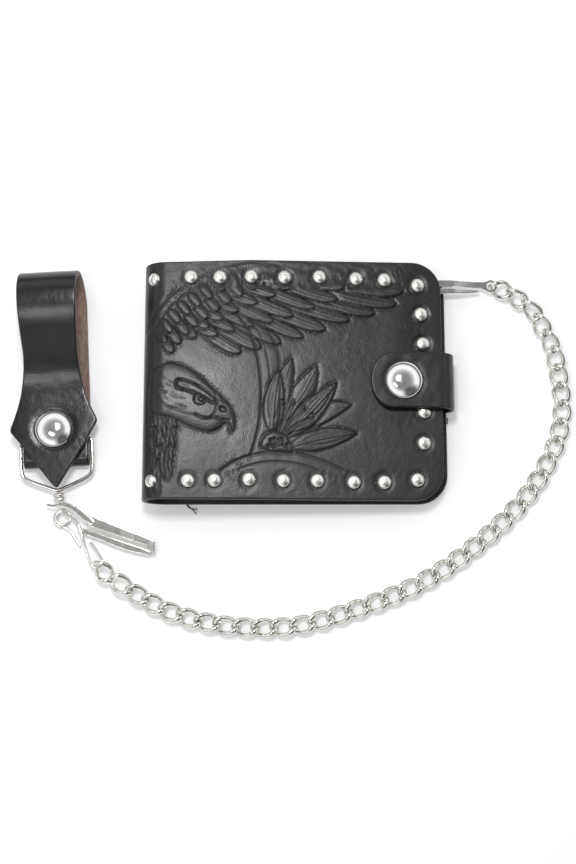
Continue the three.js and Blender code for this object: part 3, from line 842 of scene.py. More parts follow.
knife([(-5.5, 38.2), (-1.6, 44.4), (4.6, 51), (12, 56.6), (20.6, 61), (30, 64.2), (41, 66)],
      0.34, 0.32, press=-0.12)
print("wing carved", int((worked > 0).sum()), "cells")

# %% The head and neck
def region(points, count=120):
    line = smooth_line([(*p, 0) for p in points], count, closed=True)[:, :2]
    w = window(line, 4)
    X, Y = GX[w], GY[w]
    inside = np.zeros(X.shape, bool)
    for (ax, ay), (bx, by) in zip(line, np.roll(line, -1, 0)):
        crosses = ((ay > Y) != (by > Y)) & (X < (bx - ax) * (Y - ay) / (by - ay + 1e-12) + ax)
        inside ^= crosses
    d, _, _ = measure(np.vstack([line, line[:1]]), X, Y)
    return w, inside, d


def swell(points, height, reach, outline=0.3, press=0.3):
    w, inside, d = region(points)
    dome = height * np.sqrt(np.clip(1 - (1 - np.clip(d / reach, 0, 1)) ** 2, 0, 1))
    carve[w] = np.where(inside, dome, carve[w] - press * np.exp(-d / 0.9))
    mark = np.exp(-(d / outline) ** 2)
    carve[w] -= 0.24 * mark
    cut_shade[w] = np.maximum(np.where(inside, 0, cut_shade[w]), mark)
    worked[w] = np.where(inside, 1.0, worked[w])


for k in range(64):
    v = rng.uniform(0, 1)
    x = -7.5 + 15 * rng.uniform(0, 1) * (1 - 0.45 * v) - 1.5 * v
    y = 5.5 - 32 * v
    blade((x, y + 3.0), (x + rng.uniform(0.2, 1.6), y - 3.4), 0.95, rng.uniform(-0.06, 0.06),
          lift=0.22, dome=0.12, pointed=True, quill=0.0, barbs=0.0, outline=0.24)
swell([(-7, 5.5), (-7.5, 14), (-5.5, 21.5), (0, 24.6), (6.5, 24), (12.5, 20.6), (17.6, 15.8),
       (21.5, 12), (25.4, 8.4), (27.6, 4), (27.8, -1.2), (26.6, -3.4), (25.6, -0.6), (23.8, 0.6),
       (21.8, -1.6), (17.2, -3.2), (10.5, -1.4), (3, 2.2)], 0.62, 5.0)
knife([(19.8, 12.6), (20.6, 9), (20, 5.4), (18.2, 2.4)], 0.3, 0.28)
knife([(12.2, 3.6), (15.6, 2.2), (19.6, 2.6), (22.6, 1.6), (25.2, 1.4)], 0.36, 0.42, press=0.14)
knife([(-5, 9.8), (1.6, 6.4), (7.6, 4.4), (12.2, 3.6)], 0.28, 0.2)
bead(13.8, 10.2, 2.3, 0.1)
bead(14.2, 10.0, 1.2, 0.42)
swell([(5.0, 18.0), (11.4, 16.4), (16.8, 13.2), (20.2, 9.9), (19.3, 8.3), (16.0, 10.1),
       (12.4, 11.9), (8.6, 13.3), (4.4, 14.6)], 0.85, 1.5, press=0.12)
swell([(21.6, 6.9), (23.6, 6.6), (24.2, 5.4), (22.4, 5.2)], -0.3, 0.6, press=0.0)
for k in range(34):
    u, v = rng.uniform(0, 1), rng.uniform(0, 1)
    x, y = -5.4 + 13 * u, 8.4 + 12 * v - 3.6 * u
    if y < 21.5 - 0.25 * abs(x) and np.hypot(x - 13.4, y - 10.4) > 4:
        knife([(x, y), (x + 1.1, y - 0.7), (x + 2.3, y - 1.1)], 0.2, 0.13)
print("head carved")

# %% The leaf, the lily and the ground
knife([(29, 44.5), (33.4, 38), (36.4, 29), (38, 18), (38.2, 7), (36.8, -3), (34.4, -12)], 0.36,
      0.36, press=0.22)
knife([(33, 43.6), (37.4, 37.4), (40.4, 28.6), (41.8, 18.4), (41.6, 8), (40.2, -1)], 0.26, 0.2)
knife([(37.6, 42.6), (42, 37), (45, 29.6), (45.8, 22), (44.6, 16)], 0.36, 0.32, press=-0.2)
for base, tip, half, bow in (((46, 2), (60.5, 24.5), 4.6, -0.10),
                             ((50, -2), (74.5, 8.5), 4.4, 0.12),
                             ((44, 2), (50.5, 27.5), 3.9, 0.05)):
    blade(base, tip, half, bow, lift=0.26, dome=0.12, pointed=True, quill=0.05, barbs=0.0)
for base, tip, half, bow in (((42.5, -4), (45.2, 22.5), 4.3, 0.04),
                             ((47.5, -5), (68.4, 17.6), 4.5, -0.05),
                             ((49.5, -9), (76.5, -3.2), 4.4, 0.05)):
    blade(base, tip, half, bow, lift=0.42, dome=0.22, pointed=True, quill=0.12, barbs=0.0)
    inner = bent(base, tip, bow, 9)
    side = np.array([-(inner[-1] - inner[0])[1], (inner[-1] - inner[0])[0]])
    side = side / np.linalg.norm(side)
    for sign in (-1, 1):
        vein = inner[2:8] + sign * side * half * 0.52 * np.sin(np.linspace(0.5, 2.8, 6))[:, None]
        knife(vein.tolist(), 0.24, 0.16)
for k, (x, y) in enumerate([(46.2, 8.4), (50.4, 8.6), (54.6, 6.6), (58, 3), (60, -1.6)]):
    knife([(43.5 + 0.9 * k, -6.2 + 0.2 * k), ((43.5 + x) / 2 + 0.6, (y - 6) / 2 + 1), (x, y)], 0.5,
          0.3)
    knife([(44.6 + 0.9 * k, -6.8 + 0.2 * k), ((44.6 + x) / 2 + 1.3, (y - 6.6) / 2 + 0.6),
           (x + 1.1, y - 0.4)], 0.24, 0.2)
    bead(x + 0.5, y + 0.6, 1.15, 0.32)
swell([(38.6, -9.6), (39.2, -4.8), (43.4, -2.6), (48, -4.2), (50.2, -8.4), (49.6, -11.4)], 0.5, 3.0)
for k in range(26):
    a, r = rng.uniform(0.1, 3.0), rng.uniform(1.0, 5.0)
    bead(44.3 + r * math.cos(a), -9.8 + r * math.sin(a), 0.38, 0.14)
knife([(19.5, -21.6), (25, -16.6), (33, -12.8), (43, -11), (54, -11.8), (65, -15.4), (77, -21)],
      0.36, 0.36, press=-0.24, reach=2.2)
knife([(24, -21.4), (31, -17.4), (41, -15), (52, -15.6), (63, -19), (70, -22.4)], 0.3, 0.22,
      press=-0.14, reach=2.0)
knife([(83, -22), (87.5, -19.4), (92, -18.4)], 0.34, 0.26)
print("lily carved")

# %% Stippled ground round the carving
def soften(values, reach):
    k = int(reach / STEP)
    for axis in (0, 1):
        for _ in range(2):
            pad = [(0, 0), (0, 0)]
            pad[axis] = (k + 1, k)
            total = np.cumsum(np.pad(values, pad, mode="edge"), axis=axis)
            upper = np.take(total, np.arange(2 * k + 1, total.shape[axis]), axis=axis)
            lower = np.take(total, np.arange(0, total.shape[axis] - 2 * k - 1), axis=axis)
            values = (upper - lower) / (2 * k + 1)
    return values


near_work = np.clip(soften(np.where((GX < 36) & (worked > 0), 1.0, 0.0), 1.6) * 2.6, 0, 1)
stipple = near_work * (1 - worked) * np.clip((37 - GX) / 4, 0, 1)
stipple *= np.clip((soften(rng.uniform(0, 1, GX.shape), 1.2) - 0.495) * 60 + 0.75, 0, 1)
DEEPEST = 0.45  # the tool can press thin leather no deeper than this
carve = np.where(carve < 0, -DEEPEST * np.tanh(-carve / DEEPEST), carve)
carve *= 1 - 0.6 * np.clip((GY - 57) / 6, 0, 1)
carve -= 0.06 * stipple * rng.uniform(0, 1, GX.shape)
slow = soften(soften(rng.uniform(-1, 1, GX.shape), 5.0), 5.0)
carve += slow / np.abs(slow).max() * 0.10
carve = np.clip(carve, -0.75, 0.95)
print("carving from", round(carve.min(), 2), "to", round(carve.max(), 2), "mm")

# %% [markdown]
# The cover leather is one hide that runs from the back cover, round the spine, over the front. The
# wallet opens there, and the hide is made as two pieces that meet in the middle of the spine, where
# both follow the spine. Each turns smoothly round the spine into its cover.

# %% The line that the hide follows
SPINE_X, SPINE_R, TILT = -49.3, 9.0, math.radians(3.4)
FRONT_LONG, BACK_LONG, LOW_Y, HIGH_Y, SPINE_HIGH = 111.2, 113.8, -30.0, 68.3, 66.8
FRONT_BEND = math.radians(93.4) * SPINE_R
BACK_BEND = math.radians(90) * SPINE_R
LEATHER = 2.0


def over_front(s, t, h):
    bend = np.clip(s, None, FRONT_BEND) / SPINE_R
    angle = math.pi - bend
    x = SPINE_X + (SPINE_R + h) * np.cos(angle)
    z = SPINE_R + (SPINE_R + h) * np.sin(angle)
    past = np.clip(s - FRONT_BEND, 0, None)
    return np.stack([x + past * math.cos(TILT), t, z - past * math.sin(TILT)], -1)


def under_back(s, t, h):
    angle = math.pi + np.clip(s, None, BACK_BEND) / SPINE_R
    x = SPINE_X + (SPINE_R + h) * np.cos(angle)
    z = SPINE_R + (SPINE_R + h) * np.sin(angle)
    return np.stack([x + np.clip(s - BACK_BEND, 0, None), t, z], -1)


def cover_grid(long, bend, step_s, step_t, corner=12.0):
    s_lines = grid_lines(0, long, step_s, open_start=True)
    t_lines = grid_lines(LOW_Y, HIGH_Y, step_t, corner)
    S, T = np.meshgrid(s_lines, t_lines, indexing="ij")
    S = round_corners(S, T, long, LOW_Y, HIGH_Y, corner, long - 26)
    high = SPINE_HIGH + (HIGH_Y - SPINE_HIGH) * np.clip((S - bend) / 34, 0, 1)
    T = LOW_Y + (T - LOW_Y) * (high - LOW_Y) / (HIGH_Y - LOW_Y)
    return S, T


print("hide runs", round(FRONT_BEND + FRONT_LONG, 1), "mm over the front")

# %% Where the studs press into the front
def cover_xy(cad):
    middle = box_middle(cad)
    return (middle[0] - SPINE_X) / math.cos(TILT) - 0.6, middle[1]


cover_studs = [cover_xy(f"dome_stud_{k:02d}") for k in range(1, 22)]
fineness = ((0.42, 0.39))
S, T = cover_grid(FRONT_BEND + FRONT_LONG, FRONT_BEND, *fineness)


def read_map(values, x, y):
    u = np.clip((x - map_x[0]) / STEP, 0, len(map_x) - 1.001)
    v = np.clip((y - map_y[0]) / STEP, 0, len(map_y) - 1.001)
    a, b = u.astype(int), v.astype(int)
    fu, fv = u - a, v - b
    return ((values[a, b] * (1 - fu) + values[a + 1, b] * fu) * (1 - fv)
            + (values[a, b + 1] * (1 - fu) + values[a + 1, b + 1] * fu) * fv)


along = S - FRONT_BEND
height = read_map(carve, along, T)
cut_shading = read_map(cut_shade, along, T)
dots = read_map(stipple, along, T)
fade = np.clip((S - 1.0) / 5.0, 0, 1)
height, cut_shading, dots = height * fade, cut_shading * fade, dots * fade
for x, y in cover_studs:
    r = np.hypot(along - x, T - y)
    seat_in = np.clip((4.4 - r) / 1.2, 0, 1)
    height = height * (1 - seat_in) - 0.30 * np.exp(-((r - 3.0) / 0.8) ** 2)
    # A thin ring round each stud is darkened as painted shade where the stud sits in the leather.
    cut_shading = np.maximum(cut_shading * (1 - seat_in), 0.7 * np.exp(-((r - 3.0) / 0.45) ** 2))
    dots = dots * (1 - seat_in)
print("front grid", S.shape)

# %% The carved front
# The cut value on the mesh carries the painted shade of the cut lines and stud rings into the
# finish.
front_leather = leather_piece("front_cover_leather", S, T, over_front, LEATHER, crown=0.55,
                              skip=("start",), height=height, light_under=True,
                              paint={"cut_shade": np.clip(cut_shading, 0, 1), "stipple": np.clip(dots, 0, 1)})
FRONT_TURN = ((-57.3, 0, 9), (-49.3, 0, 17))
seat(front_leather, ("spine", "front_cover_assembly"),
     [tooled, black_edge, lining], ["front_cover"], bend=FRONT_TURN)

# %% The plain back
S, T = cover_grid(BACK_BEND + BACK_LONG, BACK_BEND, 1.3, 1.3)
wave = 0.05 * np.sin(S / 7.0 + 1) * np.sin(T / 9.0)
back_leather = leather_piece("back_cover_leather", S, T, under_back, LEATHER, crown=0.55,
                             skip=("start",), height=np.minimum(wave, 0))
EYELET, EYELET_HOLE = (47.0, 61.0), 3.15


def cut_away(piece, tool):
    apply_modifier(piece, "BOOLEAN", object=tool, operation="DIFFERENCE", solver="EXACT")
    bpy.data.objects.remove(tool)


def punch(piece, x, y, radius, low, high):
    clear_selection()
    bpy.ops.mesh.primitive_cylinder_add(vertices=36, radius=radius / 1000,
                                        depth=(high - low) / 1000,
                                        location=tuple(at([x, y, (low + high) / 2])))
    cut_away(piece, bpy.context.active_object)


punch(back_leather, *EYELET, EYELET_HOLE, -2, 4)
seat(back_leather, ("wallet_back", "spine"), [plain, black_edge, lining],
     ["back_cover", "spine_fold"], bend=((-49.3, 0, 1), (-57.3, 0, 9)))

# %% [markdown]
# Waxed thread holds the linings and pockets to the covers. A stitch is a short fat bead of thread
# that dips at both ends. One is modelled from a six-sided tube, and a seam is that stitch copied at
# equal steps along its line, each copy turned the way the line runs.

# %% One stitch, and a seam of them
STITCH_LONG = 2.5
clear_selection()
bpy.ops.mesh.primitive_cylinder_add(vertices=6, radius=0.26, depth=STITCH_LONG,
                                    rotation=(0, math.pi / 2, 0))
one = bpy.context.active_object
bpy.ops.object.transform_apply(location=False, rotation=True, scale=False)
bpy.ops.object.mode_set(mode="EDIT")
bpy.ops.mesh.select_all(action="DESELECT")
edit = bmesh.from_edit_mesh(one.data)
for edge in edit.edges:
    edge.select = abs(edge.verts[0].co.x - edge.verts[1].co.x) > 1
bmesh.update_edit_mesh(one.data)
bpy.ops.mesh.subdivide(number_cuts=4)
bpy.ops.object.mode_set(mode="OBJECT")
STITCH = np.array([v.co for v in one.data.vertices])
STITCH_FACES = [list(p.vertices) for p in one.data.polygons]
part_way = STITCH[:, 0] / (STITCH_LONG / 2)
STITCH[:, 1:] *= np.sqrt(np.maximum(1.08 - part_way[:, None] ** 2, 0.10))
STITCH[:, 2] += 0.10 - 0.34 * part_way ** 4
bpy.data.objects.remove(one)


def seam(name, lines, place, body, pitch=3.3):
    points, faces, count = [], [], 0
    for line in lines:
        line = np.asarray(line, float)
        run = np.r_[0, np.cumsum(np.linalg.norm(np.diff(line, axis=0), axis=1))]
        for where in np.arange(pitch * 0.7, run[-1] - pitch * 0.5, pitch):
            here = np.array([np.interp(where, run, line[:, k]) for k in range(2)])
            next_ = np.array([np.interp(where + 0.1, run, line[:, k]) for k in range(2)])
            angle = math.atan2(*(next_ - here)[::-1]) + math.radians(4)
            c, s = math.cos(angle), math.sin(angle)
            x = here[0] + STITCH[:, 0] * c - STITCH[:, 1] * s
            y = here[1] + STITCH[:, 0] * s + STITCH[:, 1] * c
            points.append(place(x, y, STITCH[:, 2]))
            faces += [[v + count * len(STITCH) for v in f] for f in STITCH_FACES]
            count += 1
    piece = new_piece(name, at(np.vstack(points)).tolist(), faces)
    face_outwards(piece)
    smooth(piece, 70)
    return seat(piece, body, thread)


def border(x0, x1, y0, y1, corner):
    corners = []
    for cx, cy, start in ((x1 - corner, y0 + corner, -90), (x1 - corner, y1 - corner, 0)):
        corners += [(cx + corner * math.cos(math.radians(start + a)),
                     cy + corner * math.sin(math.radians(start + a))) for a in range(0, 91, 10)]
    return [(x0, y0)] + corners + [(x0, y1)]


seam("back_cover_stitches", [border(BACK_BEND + 2, BACK_BEND + BACK_LONG - 3.2, LOW_Y + 3.2,
                                    HIGH_Y - 3.4, 9.0)], under_back, "wallet_back")

# %% [markdown]
# Inside, thin pebbled leather makes the bill linings and card pockets. They are flat, but not dead
# flat: the leather between two seams stands up a little. Each is a small pattern of its own with
# soft edges, and the window pocket has its opening cut out and a sheet of vinyl behind it.

# %% Linings and pockets
def front_inside(level):
    def place(x, y, h):
        z = level - h - SPINE_R
        return np.stack([SPINE_X + x * math.cos(TILT) + (z + SPINE_R) * math.sin(TILT), y,
                         SPINE_R - x * math.sin(TILT) + (z + SPINE_R) * math.cos(TILT)], -1)
    return place


def back_inside(level):
    def place(x, y, h):
        return np.stack([x, y, level + h], -1)
    return place


def panel(name, place, x0, x1, y0, y1, thick, corner, puff=0.12):
    s_lines, t_lines = grid_lines(x0, x1, 1.6), grid_lines(y0, y1, 1.6, corner)
    S, T = np.meshgrid(s_lines, t_lines, indexing="ij")
    S = round_corners(S, T, x1, y0, y1, corner, x1 - corner - 4)
    u, v = (S - x0) / (x1 - x0), (T - y0) / (y1 - y0)
    height = puff * (np.sin(np.pi * np.clip(u, 0, 1)) * np.sin(np.pi * np.clip(v, 0, 1))) ** 0.5
    height += 0.03 * np.sin(S / 5.0) * np.sin(T / 6.5 + 1)
    return leather_piece(name, S, T, place, thick, crown=0.3, height=height - puff * 0.5)


def cut_box(piece, middle, size, turn=0.0, soft=0.0):
    clear_selection()
    bpy.ops.mesh.primitive_cube_add(size=1, location=(0, 0, 0))
    tool = bpy.context.active_object
    tool.scale = tuple(side / 1000 for side in size)
    bpy.ops.object.transform_apply(location=False, rotation=False, scale=True)
    if soft:
        apply_modifier(tool, "BEVEL", width=soft / 1000, segments=5, limit_method="ANGLE")
    tool.location = tuple(at(middle))
    tool.rotation_euler = (0, turn, 0)
    cut_away(piece, tool)


INSIDE_FACES = [lining, black_edge, suede]
INNER_EDGE = 58.8 + 49.3 - 0.4
front_lining = panel("front_bill_lining_leather", front_inside(5.7), 4.3, INNER_EDGE, -29, 65.5,
                     1.0, 8.0)
seat(front_lining, "front_cover_assembly", INSIDE_FACES, ["front_bill_lining"])
front_pocket = panel("front_card_pocket_leather", front_inside(4.6), 5.3, 88, -28.5, 46, 0.8, 2.0)
seat(front_pocket, "front_cover_assembly", INSIDE_FACES, ["front_card_pocket"])
window_frame = panel("window_pocket_leather", front_inside(3.5), 5.3, 88, -28.5, 36, 0.8, 2.0, 0.06)
cut_box(window_frame, front_inside(3.9)(np.array(49.0), np.array(2.5), np.array(0.0)),
        (58, 49, 12), turn=TILT, soft=3)
seat(window_frame, "front_cover_assembly", INSIDE_FACES, ["id_window_frame"])
window_sheet = panel("window_vinyl", front_inside(3.62), 20.4, 77.6, -21.6, 26.6, 0.35, 2.5, 0.05)
seat(window_sheet, "front_cover_assembly", [vinyl, vinyl, vinyl],
     ["id_window_sheet"])

# %% Back linings and pockets
TAB_Y, TAB_HALF = 18.0, 11.7
back_lining = panel("back_bill_lining_leather", back_inside(3.3), -45, 58.8, -29, 66.6, 1.0, 8.0,
                    0.05)
cut_box(back_lining, [51.4, TAB_Y, 3.0], (20, 24.6, 6))
punch(back_lining, *EYELET, EYELET_HOLE, 1, 5)
seat(back_lining, "wallet_back", INSIDE_FACES, ["back_bill_lining"])
for name, cad, level, top in (("upper_card_pocket", "back_card_pocket_high", 4.4, 46.0),
                              ("lower_card_pocket", "back_card_pocket_low", 5.5, 36.0)):
    pocket = panel(name, back_inside(level), -44, 40.6, -28.5, top, 0.8, 2.0, 0.10)
    seat(pocket, "wallet_back", INSIDE_FACES, [cad])
seam("card_pocket_stitches", [[(-43, 34.6), (39.6, 34.6)], [(-42.4, 33), (-42.4, -27)],
                              [(-42.4, -27), (39, -27)], [(39, -27), (39, 33)]],
     back_inside(5.52), "wallet_back")
seam("window_pocket_stitches", [[(6.6, 34.4), (87, 34.4)], [(18.2, -23.8), (79.8, -23.8)],
                                [(79.8, -23.8), (79.8, 28.8)], [(79.8, 28.8), (18.2, 28.8)],
                                [(18.2, 28.8), (18.2, -23.8)], [(6.8, -27), (86.6, -27)],
                                [(86.6, -27), (86.6, 34)], [(6.8, -27), (6.8, 34)]],
     front_inside(3.48), "front_cover_assembly")

# %% [markdown]
# The closing tab is a strap of thicker leather sewn inside the back cover. It comes out at the
# opening edge, wraps round it and snaps down on the front. It is one strip again, in two pieces
# that meet half-way round the bend.

# %% The closing tab
TAB_X, TAB_Z, TAB_R, TAB_THICK, TAB_START = 60.25, 9.1, 6.8, 1.8, 42.0
TAB_FLAT = TAB_X - TAB_START
TAB_ARC = math.radians(176.6) * TAB_R
TAB_LONG = TAB_FLAT + TAB_ARC + 27.6


def round_tab(s, t, h):
    angle = -math.pi / 2 + np.clip(s - TAB_FLAT, 0, TAB_ARC) / TAB_R
    x = TAB_X + (TAB_R + h) * np.cos(angle) + np.clip(s - TAB_FLAT, None, 0)
    z = TAB_Z + (TAB_R + h) * np.sin(angle)
    past = np.clip(s - TAB_FLAT - TAB_ARC, 0, None)
    return np.stack([x - past * math.cos(TILT), t, z + past * math.sin(TILT)], -1)


def tab_part(name, s0, s1, last=False):
    s_lines = grid_lines(s0, s1, 0.8, open_start=last, open_end=not last)
    t_lines = grid_lines(TAB_Y - TAB_HALF + 0.6, TAB_Y + TAB_HALF - 0.1, 0.8, 9.0 if last else 0.0)
    S, T = np.meshgrid(s_lines, t_lines, indexing="ij")
    if last:
        v = np.clip(np.abs(T - TAB_Y - 0.25) / (TAB_HALF - 0.35), 0, 1)
        end = s1 - 9.0 * (1 - np.sqrt(np.maximum(1 - v ** 2, 0)))
        S = squeezed(S, s1 - 14, end, s1)
    bumpy = 0.05 * np.sin(S / 3.1 + 0.4) * np.sin(T / 4.3 + 1.0) + 0.03 * np.sin(S / 1.3 + T / 2.1)
    if last:
        r = np.hypot(S - (TAB_FLAT + TAB_ARC + 14.3), T - TAB_Y)
        bumpy -= 0.25 * np.exp(-((r - 7.6) / 0.9) ** 2)
    return leather_piece(name, S, T, round_tab, TAB_THICK, crown=0.6,
                         skip=("start",) if last else ("end",), height=bumpy)


tab_middle = TAB_FLAT + TAB_ARC / 2
tab_root = tab_part("tab_sewn_end", 0.0, tab_middle)
seat(tab_root, ("wallet_back", "tab_bend"), [plain, black_edge, lining],
     ["tab_base", "tab_wrap"], bend=((60.25, 0, 3.2), (66.15, 0, 9.1)))
tab_flap = tab_part("tab_flap_leather", tab_middle, TAB_LONG, last=True)
seat(tab_flap, ("tab_bend", "tab_end"), [plain, black_edge, lining],
     ["tab_flap"], bend=((66.15, 0, 9.1), (60.6, 0, 15.0)))
seam("tab_stitches", [[(43.6, TAB_Y - 9), (43.6, TAB_Y + 9)],
                      [(43.6, TAB_Y - 9.8), (56, TAB_Y - 9.8)],
                      [(43.6, TAB_Y + 9.8), (56, TAB_Y + 9.8)]], back_inside(4.12), "wallet_back")

# %% [markdown]
# The belt loop is one long strap. Its lower end is folded up round the bar of the ring, it runs up
# the back, over the top in a full round bend, and down the front in a slack S to the snap, where it
# flares to two corners and a point. Its side view is a line, its front view gives the width at each
# height, and the helper joins the two.

# %% The strap's side line and width
STRAP_AT, STRAP_TURN = np.array([-94.2, -0.6]), math.radians(3.2)
FOLD_Y, LOOP_R, STRAP_THICK = 53.8, 11.0, 1.9


def strap_at(points):
    p = np.asarray(points, float)
    c, s = math.cos(STRAP_TURN), math.sin(STRAP_TURN)
    return np.stack([STRAP_AT[0] + p[..., 0] * c - p[..., 1] * s,
                     STRAP_AT[1] + p[..., 0] * s + p[..., 1] * c, p[..., 2]], -1)


def arc(cx, cy, r, a0, a1, count):
    a = np.radians(np.linspace(a0, a1, count))
    return np.stack([cx + r * np.cos(a), cy + r * np.sin(a)], 1)


def bezier(a, b, c, d, count=40):
    t = np.linspace(0, 1, count)[:, None]
    a, b, c, d = map(np.array, (a, b, c, d))
    return (1 - t) ** 3 * a + 3 * t * (1 - t) ** 2 * b + 3 * t * t * (1 - t) * c + t ** 3 * d


lower_line = np.vstack([[(12.0, 6.2)], arc(-11.5, 3.1, 3.1, 90, 270, 24),
                        arc(FOLD_Y, LOOP_R, LOOP_R, -90, 0, 30)])
upper_line = np.vstack([arc(FOLD_Y, LOOP_R, LOOP_R, 0, 90, 30),
                        bezier((53.2, 22.0), (38.0, 22.0), (30.0, 9.7), (13.0, 9.7)),
                        [(-23.6, 9.7)]])
LEFT = np.array([(53.8, -11.8), (47, -11.7), (40, -11.4), (30, -10.9), (25, -11.2), (20, -11.9),
                 (14, -13.0), (9, -14.4), (5, -15.8), (1.6, -17.2), (0.4, -17.5), (-0.6, -17.3),
                 (-5.6, -13.4), (-14, -7.4), (-22.2, -1.5), (-23.2, -0.6), (-23.6, 0.2)])
RIGHT = np.array([(53.8, 11.8), (47, 11.8), (40, 11.4), (30, 10.9), (25, 11.2), (20, 11.9),
                  (14, 13.2), (9, 15.0), (6, 16.4), (3.9, 17.3), (3.0, 17.5), (1.8, 17.1),
                  (-6, 12.4), (-14, 7.2), (-22.2, 1.9), (-23.2, 1.2), (-23.6, 0.6)])


# from -1 at the left edge to 1 at the right, with finer steps where the edges are rolled
ACROSS = np.array([-1, -0.993, -0.98, -0.963, -0.94] + list(np.linspace(-0.9, 0.9, 27))
                  + [0.94, 0.963, 0.98, 0.993, 1])


def strap_part(name, line, widths, step, skip, height=None):
    run = np.r_[0, np.cumsum(np.linalg.norm(np.diff(line, axis=0), axis=1))]
    s_lines = grid_lines(0, run[-1], step, open_start="start" in skip, open_end="end" in skip)
    S, V = np.meshgrid(s_lines, ACROSS, indexing="ij")
    y = np.interp(S, run, line[:, 0])
    low, high = widths(y, S)
    T = (low + high) / 2 + V * (high - low) / 2

    def place(s, t, h):
        y, z = np.interp(s, run, line[:, 0]), np.interp(s, run, line[:, 1])
        dy = np.interp(s + 0.4, run, line[:, 0]) - np.interp(s - 0.4, run, line[:, 0])
        dz = np.interp(s + 0.4, run, line[:, 1]) - np.interp(s - 0.4, run, line[:, 1])
        size = np.hypot(dy, dz)
        return strap_at(np.stack([t, y + h * dz / size, z - h * dy / size], -1))

    bumpy = None if height is None else height(S, T, y)
    return leather_piece(name, S, T, place, STRAP_THICK, crown=0.55, skip=skip, height=bumpy)


HALF_ARC = math.pi / 2 * LOOP_R
FOLD_LEFT, FOLD_RIGHT = -11.5, 12.8  # where the strap's two edges are at the middle of its top bend
LOWER_RUN = float(np.linalg.norm(np.diff(lower_line, axis=0), axis=1).sum())


def back_widths(y, s):
    left = np.interp(y, [6, 30], [-13.0, -11.2])
    right = np.interp(y, [0, 10, 30], [13.2, 14.0, 13.9])
    up = np.clip((s - LOWER_RUN + HALF_ARC) / HALF_ARC, 0, 1)
    return left + up * (FOLD_LEFT - left), right + up * (FOLD_RIGHT - right)


def front_widths(y, s):
    left = np.interp(-y, -LEFT[:, 0], LEFT[:, 1])
    right = np.interp(-y, -RIGHT[:, 0], RIGHT[:, 1])
    up = np.clip(1 - s / HALF_ARC, 0, 1)
    return left + up * (FOLD_LEFT - left), right + up * (FOLD_RIGHT - right)


def creases(S, T, y):
    small = np.exp(-((y - 11) / 9.0) ** 2)
    value = 0.014 * small * np.sin(1.7 * y + 1.5 * np.sin(T / 3.0) + 0.25 * T)
    value += 0.010 * small * np.sin(2.9 * y - 0.35 * T + 2.5 * np.sin(T / 2.5))
    r = np.hypot(T, y)
    value -= 0.30 * np.exp(-((r - 7.7) / 1.0) ** 2)
    return value + 0.05 * np.sin(S / 6.0) * np.cos(T / 5.0)


strap_lower = strap_part("strap_back_leather", lower_line, back_widths, 0.9, ("end",))
seat(strap_lower, ("strap_back", "strap_bend"), [strap_black, brown_edge, suede],
     ["strap_back_leaf", "strap_fold"],
     bend=(strap_at([0, FOLD_Y, 0.95]), strap_at([0, FOLD_Y + 10.05, 11])))
strap_upper = strap_part("strap_front_leather", upper_line, front_widths, 0.6, ("start",),
                         height=creases)
seat(strap_upper, ("strap_bend", "strap_front"), [strap_black, brown_edge, suede],
     ["strap_front_leaf"], bend=(strap_at([0, FOLD_Y + 10.05, 11]), strap_at([0, FOLD_Y, 21.05])))


def on_strap(level):
    def place(x, y, h):
        return strap_at(np.stack([x, y, level + h], -1))
    return place


seam("ring_pocket_stitches", [[(-11, 10.4), (11, 10.4)]], on_strap(6.2), "strap_back")

# %% [markdown]
# Studs, snap caps, sockets and the swivel are turned parts. Each starts as a circle of points at
# the edge of its profile; spin sweeps the profile round its axis, the doubles are merged, and the
# shape is then set on its CAD place and tilt.

# %% Helper: a turned part
def turned_part(name, profile, steps=32):
    clear_selection()
    bpy.ops.mesh.primitive_plane_add(size=1)
    piece = bpy.context.active_object
    piece.name = name
    bpy.ops.object.mode_set(mode="EDIT")
    edit = bmesh.from_edit_mesh(piece.data)
    bmesh.ops.delete(edit, geom=edit.verts[:], context="VERTS")
    line = [edit.verts.new((r / 1000, 0, z / 1000)) for r, z in profile]
    for a, b in zip(line[:-1], line[1:]):
        edit.edges.new((a, b)).select = True
    for vertex in line:
        vertex.select = True
    bmesh.update_edit_mesh(piece.data)
    bpy.ops.mesh.spin(steps=steps, angle=2 * math.pi, center=(0, 0, 0), axis=(0, 0, 1))
    bpy.ops.object.mode_set(mode="OBJECT")
    face_outwards(piece, merge=2e-6)
    smooth(piece, 45)
    return piece


def put(piece, place, tilt_y=0.0, tilt_x=0.0, turn_z=0.0):
    move = (Matrix.Translation(Vector(at(place))) @ Matrix.Rotation(math.radians(turn_z), 4, "Z")
            @ Matrix.Rotation(math.radians(tilt_y), 4, "Y")
            @ Matrix.Rotation(math.radians(tilt_x), 4, "X"))
    piece.data.transform(move)
    return piece


def leaning(tilt_y):
    return np.array([math.sin(math.radians(tilt_y)), 0, math.cos(math.radians(tilt_y))])


def soft_profile(points):
    line = smooth_line([(*p, 0) for p in points], 4 * len(points))[:, :2]
    line[:, 0] = np.maximum(line[:, 0], 0)
    return [tuple(p) for p in line]


print("turning helper ready")

# %% [markdown]
# There are 23 dome studs, all alike: a thin shell pressed to a dome with a small flange where it
# meets the leather. One is turned and copied. Hammered in by hand, no two sit quite square, so each
# copy leans a degree or three.

